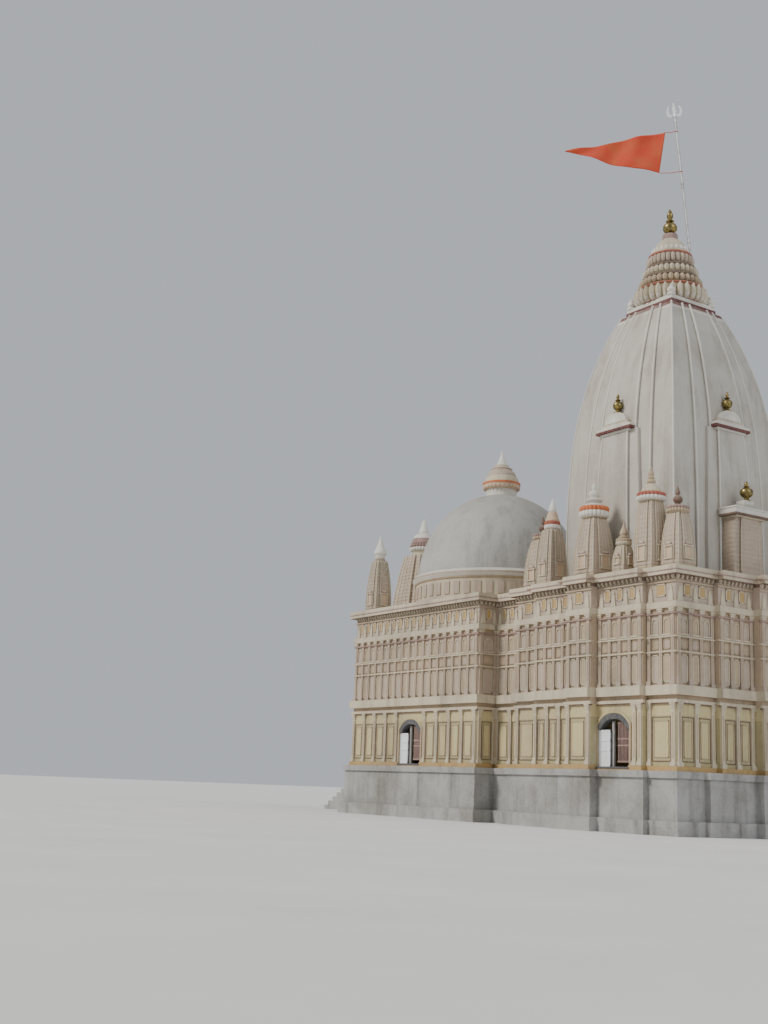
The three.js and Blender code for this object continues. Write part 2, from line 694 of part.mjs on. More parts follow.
// A half spire under an eave, with a pedestal and a round finial, behind the rear face spire
function makeRearSpire() {
  const foot = WALL_TOP + SEAT;
  const back = FACE_SPIRE_FACE + SEAT;
  const low = REAR_FACE - REAR_STEP;
  const plan = [
    [back, -REAR_HALF], [low, -REAR_HALF], [low, -REAR_STRIP], [REAR_FACE, -REAR_STRIP],
    [REAR_FACE, REAR_STRIP], [low, REAR_STRIP], [low, REAR_HALF], [back, REAR_HALF],
  ];
  const widthAt = (t) => 1 - REAR_NARROWING * Math.pow(Math.max(t, 0), 2.4);
  const body = drawnIn(prism(plan, foot, REAR_EAVE, 4), foot, REAR_EAVE, widthAt, () => 1);
  const front = REAR_FACE + REAR_EAVE_REACH;
  const eave = block(back, front, -REAR_EAVE_HALF, REAR_EAVE_HALF, REAR_EAVE - 10, REAR_EAVE_TOP);
  const wide = REAR_PEDESTAL_HALF;
  const pedestalBack = REAR_KALASHA_PLACE - wide;
  const pedestal = block(pedestalBack, REAR_FACE, -wide, wide, REAR_EAVE_TOP - 10, REAR_PEDESTAL_TOP);
  const kalasha = moved(turnedOn(REAR_PEDESTAL_TOP - 10, REAR_KALASHA, 12), REAR_KALASHA_PLACE, 0);
  addPiece("rear_spire", joined([toSolid(body), eave, pedestal, kalasha]).rotate([0, 0, 90]), CREAM);
}

// Porch: four columns, a flat roof and a small spire over the entrance
function makePorch() {
  const foot = PLINTH_TOP + SEAT;
  const top = PORCH_ROOF_UNDERSIDE - SEAT;
  for (const [side, way] of SIDES) {
    const column = joined([
      block(-230, 230, -230, 230, foot, foot + 300),
      turned([[0, foot + 250], [170, foot + 250], [150, top - 400], [0, top - 400]], 16),
      block(-230, 230, -230, 230, top - 420, top),
    ]);
    addPiece(`porch_column_${side}`, moved(column, way * COLUMN_X, COLUMN_Y), CREAM);
  }
  const back = HALL_FRONT - SEAT;
  const roof = joined([
    block(-PORCH_HALF, PORCH_HALF, PORCH_FRONT + 200, back, PORCH_ROOF_UNDERSIDE, PORCH_ROOF_TOP - 150),
    block(-PORCH_HALF - 150, PORCH_HALF + 150, PORCH_FRONT, back, PORCH_ROOF_TOP - 150, PORCH_ROOF_TOP),
  ]);
  addPiece("porch_roof", roof, CREAM);
  const spire = smallSpire(900, PORCH_ROOF_TOP + SEAT, PORCH_TOP);
  addPiece("porch_spire", moved(spire, 0, -13200), CREAM);
}

makePlinth();
makeSteps();
makeShrineWalls();
makeHall();
makeLink();
makeDome();
makeSpire();
makeFaceSpires();
makeCrown();
makeSmallSpires();
makeRearSpire();
makePorch();
makeFlag();

export default temple;
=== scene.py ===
import math

import bmesh
import bpy
from mathutils import Matrix, Vector


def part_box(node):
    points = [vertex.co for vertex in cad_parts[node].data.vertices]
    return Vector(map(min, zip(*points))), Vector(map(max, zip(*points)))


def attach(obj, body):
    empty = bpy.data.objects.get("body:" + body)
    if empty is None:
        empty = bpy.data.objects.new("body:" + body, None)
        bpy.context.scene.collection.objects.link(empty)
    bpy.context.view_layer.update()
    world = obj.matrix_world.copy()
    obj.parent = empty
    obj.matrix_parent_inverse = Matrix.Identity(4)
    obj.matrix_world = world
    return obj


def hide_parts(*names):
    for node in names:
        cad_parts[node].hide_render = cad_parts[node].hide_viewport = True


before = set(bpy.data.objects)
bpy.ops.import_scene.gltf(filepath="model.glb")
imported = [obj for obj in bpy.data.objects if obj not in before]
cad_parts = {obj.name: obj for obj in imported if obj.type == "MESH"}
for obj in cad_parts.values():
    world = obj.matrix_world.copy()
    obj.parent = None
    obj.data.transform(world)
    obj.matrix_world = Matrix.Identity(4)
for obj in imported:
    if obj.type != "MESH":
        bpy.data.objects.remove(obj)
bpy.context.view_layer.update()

TURN = 2 * math.pi
QUARTERS = [Matrix.Rotation(TURN * quarter / 4, 4, "Z") for quarter in range(4)]
SIDES = (("right", 1), ("left", -1))

# The main spire draws in by a share, with a power of the height. Its faces step out towards their
# middles in strips: the share of the half width that a strip takes, and how far out it stands.
SPIRE_NARROWING, SPIRE_CURVE = 0.52, 3.35
SPIRE_STEPS = ((0.61, 1.03), (0.34, 1.06))
SPIRE_FOOT, SPIRE_TOP = (corner.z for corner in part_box("spire"))
SPIRE_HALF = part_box("spire")[1].x / SPIRE_STEPS[-1][1]

# A small spire has one strip on each face, and draws in the same way
STRIP_OUT = 1.12
SMALL_STEPS = ((0.5, STRIP_OUT),)
SMALL_NARROWING, SMALL_CURVE = 0.42, 2.4

# Lines of the walls
PLINTH_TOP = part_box("plinth")[1].z
HALL_HALF, LINK_HALF = 3.65, 2.9
HALL_REAR, HALL_FRONT = -4.8, -12.0
HALL_MID = (HALL_REAR + HALL_FRONT) / 2
PIER_FACE, BAY_FACE, MIDDLE_FACE = 3.3, 3.48, 3.76
BAY_HALF, REAR_BAY_HALF, MIDDLE_HALF = 2.25, 1.85, 0.5

# Mouldings on the walls, from height to height
BASE_TOP = PLINTH_TOP + 0.13
LOWER_HEAD = 3.1
LOWER_LEDGE = (3.44, 3.52)
SILL_BAND = (3.64, 3.90)
LOW_STRING, MIDDLE_STRING, HIGH_STRING = (4.77, 4.81), (5.17, 5.21), (5.80, 5.84)
HEAD_BAND = (5.96, 6.14)
FRIEZE_STRING = (6.66, 6.70)
CORNICE_FOOT, CORNICE_REACH = 6.85, 0.2

# The doorway and the arched windows
DOOR_HALF, DOOR_RISE = 0.9, 2.9
WINDOW_HALF = 0.62
WINDOW_SILL = PLINTH_TOP + 0.09
WINDOW_SPRING, WINDOW_CROWN = 2.88, 3.19
SHRINE_WINDOW_Y = 1.14

# Relief starts this far inside the wall that carries it
SUNK = -0.02

# Colours, as linear red, green and blue
PLASTER = (0.50, 0.47, 0.41)
PLASTER_LIGHT = (0.66, 0.63, 0.56)
CREAM = (0.58, 0.50, 0.36)
YELLOW = (0.56, 0.47, 0.24)
OLIVE = (0.43, 0.37, 0.19)
TAN = (0.45, 0.34, 0.22)
PEACH = (0.47, 0.37, 0.285)
OCHRE = (0.48, 0.31, 0.11)
DARK_RED = (0.13, 0.025, 0.02)
BROWN = (0.16, 0.09, 0.06)
SOIL = (0.27, 0.23, 0.17)
CHALK = (0.94, 0.92, 0.88)
DUST = (0.30, 0.27, 0.22)


class Network:
    """Nodes laid down one by one, each with its settings and with values or links for its inputs."""

    def __init__(self, tree):
        self.nodes = tree.nodes
        self.links = tree.links

    def node(self, kind, inputs=None, **settings):
        node = self.nodes.new(kind)
        for key, value in settings.items():
            setattr(node, key, value)
        for key, value in (inputs or {}).items():
            self.join(value, node.inputs[key])
        return node

    def join(self, value, socket):
        if isinstance(value, bpy.types.NodeSocket):
            self.links.new(value, socket)
        else:
            socket.default_value = value

    def reckon(self, operation, *values):
        return self.node("ShaderNodeMath", dict(enumerate(values)), operation=operation).outputs[0]


class Finish(Network):
    """A material whose pattern is measured in the temple's own metres."""

    def __init__(self, name):
        self.material = bpy.data.materials.new(name)
        self.material.use_nodes = True
        super().__init__(self.material.node_tree)
        self.shader = self.nodes["Principled BSDF"]
        self.place = self.node("ShaderNodeTexCoord").outputs["Object"]

    def noise(self, scale, detail=4.0, rough=0.6, stretch=(1, 1, 1)):
        place = self.node("ShaderNodeMapping", {"Vector": self.place, "Scale": stretch}).outputs[0]
        inputs = {"Vector": place, "Scale": scale, "Detail": detail, "Roughness": rough}
        return self.node("ShaderNodeTexNoise", inputs).outputs[0]

    def spread(self, value, low, high, to_low=0.0, to_high=1.0):
        inputs = {"Value": value, "From Min": low, "From Max": high, "To Min": to_low, "To Max": to_high}
        return self.node("ShaderNodeMapRange", inputs).outputs[0]

    def mix(self, first, second, amount, blend="MIX"):
        inputs = {0: amount, 6: colour(first), 7: colour(second)}
        return self.node("ShaderNodeMix", inputs, data_type="RGBA", blend_type=blend).outputs[2]

    def height(self):
        return self.node("ShaderNodeSeparateXYZ", {0: self.place}).outputs[2]

    def upward(self):
        normal = self.node("ShaderNodeNewGeometry").outputs["Normal"]
        return self.node("ShaderNodeSeparateXYZ", {0: normal}).outputs[2]

    def bump(self, value, strength, distance):
        inputs = {"Height": value, "Strength": strength, "Distance": distance}
        self.join(self.node("ShaderNodeBump", inputs).outputs[0], self.shader.inputs["Normal"])

    def set(self, **values):
        for key, value in values.items():
            self.join(value, self.shader.inputs[key.replace("_", " ")])


def colour(value):
    if isinstance(value, tuple) and len(value) == 3:
        return (*value, 1.0)
    return value


def weathered(name, paint, soil, patch=0.4, streak=0.45, grain=0.006, bands=None):
    """Painted or limewashed plaster: soft patches, rain streaks, dust on ledges and a trowelled grain."""
    finish = Finish(name)
    tone = painted_bands(finish, bands) if bands else colour(paint)
    patches = finish.spread(finish.noise(0.55, 6, 0.62), 0.44, 0.66)
    streaks = finish.spread(finish.noise(1.9, 6, 0.65, (1, 1, 0.09)), 0.5, 0.72)
    specks = finish.spread(finish.noise(11, 5, 0.7), 0.4, 0.7)
    dust = finish.spread(finish.upward(), 0.35, 0.95, 0.0, 0.45)
    tone = finish.mix(tone, soil, finish.reckon("MULTIPLY", patches, patch))
    tone = finish.mix(tone, soil, finish.reckon("MULTIPLY", streaks, streak), "MULTIPLY")
    tone = finish.mix(tone, CHALK, finish.reckon("MULTIPLY", specks, 0.10))
    tone = finish.mix(tone, DUST, dust)
    finish.set(Base_Color=tone, Roughness=finish.spread(specks, 0, 1, 0.80, 0.94))
    fine = finish.noise(26, 5, 0.7)
    wave = finish.noise(1.6, 3, 0.5)
    finish.bump(finish.reckon("ADD", fine, finish.reckon("MULTIPLY", wave, 2.5)), 0.55, grain)
    return finish.material


def painted_bands(finish, bands):
    """Colours that change with height; each band is (height it starts at, colour)."""
    low, high = bands[0][0], bands[-1][0] + 1.0
    ramp = finish.node("ShaderNodeValToRGB", {0: finish.spread(finish.height(), low, high)})
    ramp.color_ramp.interpolation = "CONSTANT"
    points = ramp.color_ramp.elements
    for number, (start, tone) in enumerate(bands):
        share = (start - low) / (high - low)
        point = points[number] if number < 2 else points.new(share)
        point.position = share
        point.color = colour(tone)
    return ramp.outputs[0]


plaster = weathered("spire_plaster", PLASTER, (0.36, 0.31, 0.25), patch=0.55, streak=0.5, bands=(
    (SPIRE_FOOT, PLASTER),
    (15.60, PLASTER_LIGHT),
    (15.67, PLASTER),
    (15.72, DARK_RED),
))
rough_plaster = weathered("dome_plaster", (0.42, 0.41, 0.385), (0.30, 0.285, 0.26), patch=0.6)
plaster_light = weathered("plaster_edge", PLASTER_LIGHT, PLASTER, patch=0.5, streak=0.3)
cream = weathered("cream_paint", CREAM, SOIL)
tan = weathered("tan_paint", TAN, SOIL)
olive = weathered("olive_paint", OLIVE, SOIL)
yellow = weathered("yellow_paint", YELLOW, SOIL)
peach = weathered("peach_paint", PEACH, SOIL)
ochre = weathered("ochre_paint", OCHRE, SOIL)
apricot = weathered("apricot_paint", (0.60, 0.43, 0.29), SOIL, patch=0.3, streak=0.3)
coral = weathered("coral_paint", (0.44, 0.12, 0.07), DARK_RED, patch=0.3, streak=0.3)
orange = weathered("orange_paint", (0.62, 0.16, 0.04), DARK_RED, patch=0.2, streak=0.3)
red = weathered("red_paint", (0.38, 0.05, 0.03), DARK_RED, patch=0.35)
dark_red = weathered("dark_red_paint", DARK_RED, (0.05, 0.02, 0.02), patch=0.3)
brown = weathered("brown_paint", BROWN, (0.07, 0.05, 0.04), patch=0.3)
rose = weathered("rose_paint", (0.33, 0.21, 0.18), (0.18, 0.12, 0.10))
white = weathered("white_paint", (0.74, 0.71, 0.64), (0.45, 0.40, 0.32), patch=0.3, streak=0.35)
# Near-black painted shade for the window openings: it fills the top of each opening under its arch, and
# colours the jamb beside the bars and the sill
painted_opening_shade = weathered("painted_opening_shade", (0.085, 0.085, 0.09), (0.08, 0.075, 0.07))
cement = weathered("cement_render", (0.36, 0.355, 0.34), (0.17, 0.155, 0.13), patch=0.75, streak=0.6,
                   grain=0.012)
wall_bands = weathered("wall_paint", CREAM, SOIL, bands=(
    (PLINTH_TOP - 0.1, OCHRE),
    (BASE_TOP, OLIVE),
    (LOWER_HEAD, YELLOW),
    (LOWER_LEDGE[0], TAN),
    (SILL_BAND[0], CREAM),
    (SILL_BAND[1], TAN),
    (HEAD_BAND[0], CREAM),
    (HEAD_BAND[1], PEACH),
    (6.76, BROWN),
    (CORNICE_FOOT, CREAM),
))


def brass_finish():
    finish = Finish("old_brass")
    tarnish = finish.spread(finish.noise(9, 5, 0.65), 0.36, 0.62)
    tone = finish.mix((0.42, 0.31, 0.11), (0.11, 0.10, 0.05), tarnish)
    finish.set(Base_Color=tone, Metallic=1.0, Roughness=finish.spread(tarnish, 0, 1, 0.24, 0.5))
    finish.bump(finish.noise(30, 3), 0.25, 0.002)
    return finish.material


def steel_finish(name, bright, dull, metal, rough):
    finish = Finish(name)
    drawn = finish.noise(40, 4, 0.6, (1, 1, 0.05))
    dulled = finish.spread(finish.noise(5, 4), 0.45, 0.7)
    tone = finish.mix((bright, bright, bright), (dull, dull, dull * 0.95), dulled)
    finish.set(Base_Color=tone, Metallic=metal, Roughness=finish.spread(drawn, 0.3, 0.7, rough, rough + 0.2))
    finish.bump(drawn, 0.2, 0.001)
    return finish.material


def enamel_finish():
    finish = Finish("white_enamel")
    worn = finish.spread(finish.noise(7, 5, 0.7), 0.55, 0.72)
    tone = finish.mix((0.80, 0.83, 0.86), (0.42, 0.40, 0.36), finish.reckon("MULTIPLY", worn, 0.5))
    finish.set(Base_Color=tone, Roughness=finish.spread(worn, 0, 1, 0.3, 0.6))
    finish.bump(finish.noise(45, 3), 0.15, 0.001)
    return finish.material


def cotton_finish():
    finish = Finish("saffron_cotton")
    weave = finish.node("ShaderNodeTexCoord").outputs["UV"]
    threads = []
    for direction in ("X", "Y"):
        inputs = {"Vector": weave, "Scale": 260.0, "Distortion": 0.4}
        threads.append(finish.node("ShaderNodeTexWave", inputs, bands_direction=direction).outputs[1])
    cloth = finish.reckon("ADD", *threads)
    fade = finish.spread(finish.noise(2.5, 5, 0.6), 0.4, 0.7)
    tone = finish.mix((0.64, 0.06, 0.022), (0.58, 0.11, 0.035), fade)
    tone = finish.mix(tone, (0.27, 0.025, 0.012), finish.spread(cloth, 0.2, 1.4, 0.25, 0.0))
    finish.set(Base_Color=tone, Roughness=0.88, Sheen_Weight=0.12, Sheen_Roughness=0.5)
    finish.bump(cloth, 0.3, 0.0015)
    return finish.material


brass = brass_finish()
# The trident's steel is a pale copy of the pole's darker steel: its near-white tone is painted light, the
# lamp light that the trident catches
steel = steel_finish("dull_steel", 0.42, 0.28, 1.0, 0.36)
painted_lit_steel = steel_finish("painted_lit_steel", 0.92, 0.74, 0.35, 0.3)
enamel = enamel_finish()
cotton = cotton_finish()


# Plans and outlines

def stepped_plan(half, steps):
    """Corners of a square plan whose faces step out towards their middles, anticlockwise."""
    low = [(half, -half)]
    for share, out in steps:
        low += [(low[-1][0], -share * half), (out * half, -share * half)]
    side = low + [(x, -y) for x, y in reversed(low[1:])]
    plan = list(side)
    for _ in range(3):
        side = [(-y, x) for x, y in side]
        plan += side
    return plan


def faced_plan(back, face, half, strip, step):
    """A half spire's plan: from its back to its face, with a wider strip up the middle of the face."""
    return [(back, -half), (face - step, -half), (face - step, -strip), (face, -strip),
            (face, strip), (face - step, strip), (face - step, half), (back, half)]


def eased(plan, cut):
    """The same plan with a narrow flat cut across each corner."""
    points = []
    for before, here, after in zip(plan[-1:] + plan[:-1], plan, plan[1:] + plan[:1]):
        for other in (before, after):
            way = Vector(other) - Vector(here)
            points.append(tuple(Vector(here) + way.normalized() * min(cut, 0.4 * way.length)))
    return points


def smoothed(outline, parts=3):
    """An outline of radius and height, run through its points as a soft curve."""
    points = [Vector(p) for p in outline]
    run = [points[0], *points, points[-1]]
    curve = []
    for a, b, c, d in zip(run, run[1:], run[2:], run[3:]):
        for step in range(parts):
            t = step / parts
            place = 0.5 * (2 * b + (c - a) * t + (2 * a - 5 * b + 4 * c - d) * t ** 2
                           + (3 * b - 3 * c + d - a) * t ** 3)
            curve.append((max(place.x, 0.002), place.y))
    return curve + [tuple(points[-1])]


def stance(node):
    """Where a solid stands: its middle, half its width, its foot and its top."""
    low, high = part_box(node)
    return ((low.x + high.x) / 2, (low.y + high.y) / 2), (high.x - low.x) / 2, low.z, high.z


def raised(outline, foot):
    """An outline whose heights count from its own foot, set at its place."""
    return [(radius, foot + z) for radius, z in outline]


def beside(middle, way, near, far):
    """The span from near to far on one side of a middle, low end first."""
    return sorted((middle + way * near, middle + way * far))


class Form:
    """One piece in the making: closed bodies, each with its finish."""

    def __init__(self):
        self.shape = bmesh.new()
        self.finishes = []

    def number(self, finish):
        if finish not in self.finishes:
            self.finishes.append(finish)
        return self.finishes.index(finish)

    def corners(self, rings):
        """New corners at the points of each ring."""
        return [[self.shape.verts.new(point) for point in ring] for ring in rings]

    def face(self, corners, finish, smooth=False):
        face = self.shape.faces.new(corners)
        face.material_index = self.number(finish)
        face.smooth = smooth

    def course(self, low, high, finish, smooth):
        """The faces between two rings of corners."""
        for corners in zip(low, low[1:] + low[:1], high[1:] + high[:1], high):
            self.face(corners, finish, smooth)

    def loft(self, rings, finish, smooth=False):
        """Skins a row of rings, foot to lid; finish is one material or one for each course."""
        rows = self.corners(rings)
        courses = finish if isinstance(finish, (list, tuple)) else [finish] * (len(rows) - 1)
        for low, high, paint in zip(rows, rows[1:], courses):
            self.course(low, high, paint, smooth)
        self.face(rows[0][::-1], courses[0])
        self.face(rows[-1], courses[-1])

    def block(self, low, high, finish):
        (x0, y0, z0), (x1, y1, z1) = low, high
        plan = ((x0, y0), (x1, y0), (x1, y1), (x0, y1))
        self.loft([[(x, y, z) for x, y in plan] for z in (z0, z1)], finish)

    def slab(self, turn, x, y, z, finish, centre=Vector()):
        """A block on one face of a spire: its spans out from the centre, along the face and upwards."""
        ring = ((x[0], y[0]), (x[1], y[0]), (x[1], y[1]), (x[0], y[1]))
        self.loft([[centre + turn @ Vector((a, b, height)) for a, b in ring] for height in z], finish)

    def storeys(self, plan, levels, centre, finish, cut=0.012):
        """A stepped plan carried up through levels of (height, scale)."""
        outline = eased(plan, cut)
        cx, cy = centre
        rings = [[(cx + x * scale, cy + y * scale, z) for x, y in outline] for z, scale in levels]
        self.loft(rings, finish)

    def turned(self, centre, outline, finish, segments=32, lobes=0, depth=0.0):
        """A round body; with lobes, its edge waves in and out."""
        cx, cy = centre
        rings = []
        for radius, z in outline:
            ring = []
            for i in range(segments):
                angle = TURN * i / segments
                wave = 1.0 - depth * abs(math.sin(angle * lobes / 2)) ** 3 if lobes else 1.0
                ring.append((cx + radius * wave * math.cos(angle), cy + radius * wave * math.sin(angle), z))
            rings.append(ring)
        self.loft(rings, finish, smooth=True)

    def hoop(self, centre, outline, courses, segments):
        """A closed outline turned round an upright axis, open through the middle."""
        cx, cy = centre
        angles = [TURN * i / segments for i in range(segments)]
        circle = [(math.cos(angle), math.sin(angle)) for angle in angles]
        rows = self.corners([(cx + r * x, cy + r * y, z) for x, y in circle] for r, z in outline)
        for low, high, paint in zip(rows, rows[1:] + rows[:1], courses):
            self.course(low, high, paint, smooth=True)

    def bead(self, points, finish, radius):
        """A round bead along a line of points."""
        self.take(grown(BEAD, line_mesh(points), finish, Radius=radius))

    def ring_of(self, base, finish, count, radius, height, centre=(0.0, 0.0)):
        """Copies of a small shape round a circle."""
        mesh = grown(RING, base, finish, Count=count, Radius=radius, Height=height)
        self.take(mesh, Matrix.Translation((*centre, 0.0)))

    def take(self, mesh, place=Matrix.Identity(4)):
        """Adds a finished mesh, whose materials come along, and lets the mesh go."""
        numbers = [self.number(m) for m in mesh.materials]
        mesh.transform(place)
        first = len(self.shape.faces)
        self.shape.from_mesh(mesh)
        self.shape.faces.ensure_lookup_table()
        for face in self.shape.faces[first:]:
            face.material_index = numbers[face.material_index]
        bpy.data.meshes.remove(mesh)

    def mesh(self, name="copy"):
        """The form as a mesh whose faces point outwards; the form itself is let go."""
        bmesh.ops.recalc_face_normals(self.shape, faces=self.shape.faces[:])
        mesh = bpy.data.meshes.new(name)
        self.shape.to_mesh(mesh)
        self.shape.free()
        return mesh

    def piece(self, name, replaces=(), bevel=0.0):
        """Turns the form into a finished piece of the temple."""
        mesh = self.mesh(name)
        for finish in self.finishes:
            mesh.materials.append(finish)
        mesh.set_sharp_from_angle(angle=math.radians(38))
        thing = bpy.data.objects.new(name, mesh)
        bpy.context.scene.collection.objects.link(thing)
        if bevel:
            edge = thing.modifiers.new("eased_edges", "BEVEL")
            edge.width = bevel
            edge.segments = 1
            edge.limit_method = "ANGLE"
            edge.angle_limit = math.radians(40)
        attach(thing, "root")
        if replaces:
            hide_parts(*replaces)


# Geometry trees for what repeats or follows a rule

SOCKETS = {float: "NodeSocketFloat", int: "NodeSocketInt", tuple: "NodeSocketVector"}


class Tree(Network):
    """A geometry tree with named inputs: the shape that comes in, its sizes and its finish."""

    def __init__(self, name, **sizes):
        self.group = bpy.data.node_groups.new(name, "GeometryNodeTree")
        super().__init__(self.group)
        face = self.group.interface
        face.new_socket("Geometry", in_out="INPUT", socket_type="NodeSocketGeometry")
        for label, value in sizes.items():
            socket = face.new_socket(label, in_out="INPUT", socket_type=SOCKETS[type(value)])
            socket.default_value = value
        face.new_socket("Finish", in_out="INPUT", socket_type="NodeSocketMaterial")
        face.new_socket("Geometry", in_out="OUTPUT", socket_type="NodeSocketGeometry")
        self.start = self.node("NodeGroupInput")
        self.end = self.node("NodeGroupOutput")

    def given(self, label):
        return self.start.outputs[label]

    def vector(self, x=0.0, y=0.0, z=0.0):
        return self.node("ShaderNodeCombineXYZ", {0: x, 1: y, 2: z}).outputs[0]

    def copies_on(self, points, angle):
        """A copy of the shape on each point, turned about the upright axis."""
        turn = self.node("FunctionNodeEulerToRotation", {0: self.vector(z=angle)}).outputs[0]
        inputs = {"Points": points, "Instance": self.given("Geometry"), "Rotation": turn}
        return self.node("GeometryNodeInstanceOnPoints", inputs).outputs[0]

    def close(self, shape):
        """Real copies, with the finish set, go out of the tree."""
        real = self.node("GeometryNodeRealizeInstances", {0: shape}).outputs[0]
        done = self.node("GeometryNodeSetMaterial", {"Geometry": real, "Material": self.given("Finish")})
        self.join(done.outputs[0], self.end.inputs[0])
        return self.group


def narrowing_tree():
    """Draws an upright body in towards the axis as it rises."""
    tree = Tree("narrowing_tower", Foot=0.0, Rise=1.0, Narrowing=0.5, Power=3.0)
    place = tree.node("GeometryNodeInputPosition").outputs[0]
    x, y, z = tree.node("ShaderNodeSeparateXYZ", {0: place}).outputs
    climb = tree.reckon("DIVIDE", tree.reckon("SUBTRACT", z, tree.given("Foot")), tree.given("Rise"))
    bend = tree.reckon("POWER", tree.reckon("MAXIMUM", climb, 0.0), tree.given("Power"))
    width = tree.reckon("SUBTRACT", 1.0, tree.reckon("MULTIPLY", bend, tree.given("Narrowing")))
    there = tree.vector(tree.reckon("MULTIPLY", x, width), tree.reckon("MULTIPLY", y, width), z)
    moved = tree.node("GeometryNodeSetPosition", {"Geometry": tree.given("Geometry"), "Position": there})
    return tree.close(moved.outputs[0])


def ring_tree():
    """Copies of the shape that comes in, round a circle, each turned to face out."""
    tree = Tree("ring_of_copies", Count=12, Radius=1.0, Height=0.0)
    number = tree.node("GeometryNodeInputIndex").outputs[0]
    angle = tree.reckon("DIVIDE", tree.reckon("MULTIPLY", number, TURN), tree.given("Count"))
    x = tree.reckon("MULTIPLY", tree.reckon("COSINE", angle), tree.given("Radius"))
    y = tree.reckon("MULTIPLY", tree.reckon("SINE", angle), tree.given("Radius"))
    inputs = {"Count": tree.given("Count"), "Position": tree.vector(x, y, tree.given("Height"))}
    points = tree.node("GeometryNodePoints", inputs).outputs[0]
    return tree.close(tree.copies_on(points, angle))


def row_tree():
    """Copies of the shape that comes in, along a straight line."""
    tree = Tree("row_of_copies", Count=10, Start=(0.0, 0.0, 0.0), Step=(0.1, 0.0, 0.0), Turn=0.0)
    inputs = {"Count": tree.given("Count"), "Start Location": tree.given("Start"),
              "Offset": tree.given("Step")}
    line = tree.node("GeometryNodeMeshLine", inputs, mode="OFFSET").outputs[0]
    return tree.close(tree.copies_on(line, tree.given("Turn")))


def bead_tree():
    """A round bead along each line that comes in."""
    tree = Tree("bead_on_a_line", Radius=0.03)
    line = tree.node("GeometryNodeMeshToCurve", {"Mesh": tree.given("Geometry")}).outputs[0]
    circle = tree.node("GeometryNodeCurvePrimitiveCircle", {"Resolution": 8, "Radius": tree.given("Radius")})
    inputs = {"Curve": line, "Profile Curve": circle.outputs[0], "Fill Caps": True}
    bead = tree.node("GeometryNodeCurveToMesh", inputs).outputs[0]
    return tree.close(tree.node("GeometryNodeSetShadeSmooth", {"Geometry": bead}).outputs[0])


NARROWING = narrowing_tree()
RING = ring_tree()
ROW = row_tree()
BEAD = bead_tree()


def grown(group, mesh, finish, **sizes):
    """The plain mesh that a tree makes of a base mesh, which is let go."""
    holder = bpy.data.objects.new("holder", mesh)
    bpy.context.scene.collection.objects.link(holder)
    maker = holder.modifiers.new("maker", "NODES")
    maker.node_group = group
    given = {**sizes, "Finish": finish}
    for item in group.interface.items_tree:
        if item.in_out == "INPUT" and item.name in given:
            maker[item.identifier] = given[item.name]
    seen = holder.evaluated_get(bpy.context.evaluated_depsgraph_get())
    result = bpy.data.meshes.new_from_object(seen)
    holder.modifiers.remove(maker)
    bpy.data.objects.remove(holder)
    bpy.data.meshes.remove(mesh)
    return result


def line_mesh(points):
    mesh = bpy.data.meshes.new("line")
    mesh.from_pydata(points, [(i, i + 1) for i in range(len(points) - 1)], [])
    return mesh


# Small shapes that the trees copy; the tree gives them their finish

def petal(width, rise, out):
    """One upright lotus petal, wide at the shoulder and pointed at its tip, bulging along +X."""
    # shares of the rise, of the width and of the bulge
    levels = ((0.0, 0.72, 0.5), (0.3, 0.95, 0.95), (0.6, 1.0, 1.0), (0.82, 0.66, 0.9), (1.0, 0.06, 0.75))
    form = Form()
    rings = []
    for up, wide, deep in levels:
        ring = []
        for i in range(8):
            angle = TURN * i / 8
            x = out * deep * max(math.cos(angle), -0.25)
            ring.append((x, width / 2 * wide * math.sin(angle), rise * up))
        rings.append(ring)
    form.loft(rings, plaster, smooth=True)
    return form.mesh()


def lobe(width, rise, out):
    """One rib of a fluted ring, rounded from top to bottom, bulging along +X."""
    form = Form()
    rings = []
    for level in range(7):
        lift = math.pi * (level + 0.25) / 6.5
        size = math.sin(lift) ** 0.7
        ring = []
        for i in range(8):
            angle = TURN * i / 8
            x = out * size * max(math.cos(angle), -0.4)
            ring.append((x, width / 2 * size * math.sin(angle), rise * 0.5 * (1 - math.cos(lift))))
        rings.append(ring)
    form.loft(rings, plaster, smooth=True)
    return form.mesh()


def dentil():
    form = Form()
    form.block((SUNK, -0.035, 0), (0.075, 0.035, 0.07), cream)
    form.block((SUNK, -0.026, -0.035), (0.045, 0.026, 0.0), cream)
    return form.mesh()


def tower_relief():
    """A little spire in relief, as repeated along a frieze."""
    form = Form()
    # height, half width and how far out
    levels = ((0.0, 0.1, 0.05), (0.04, 0.1, 0.05), (0.045, 0.075, 0.035), (0.16, 0.075, 0.035),
              (0.26, 0.058, 0.032), (0.34, 0.034, 0.026), (0.345, 0.05, 0.036), (0.38, 0.05, 0.036),
              (0.385, 0.02, 0.02), (0.47, 0.004, 0.008))
    rings = [[(SUNK, -wide, z), (out, -wide, z), (out, wide, z), (SUNK, wide, z)] for z, wide, out in levels]
    form.loft(rings, cream)
    return form.mesh()


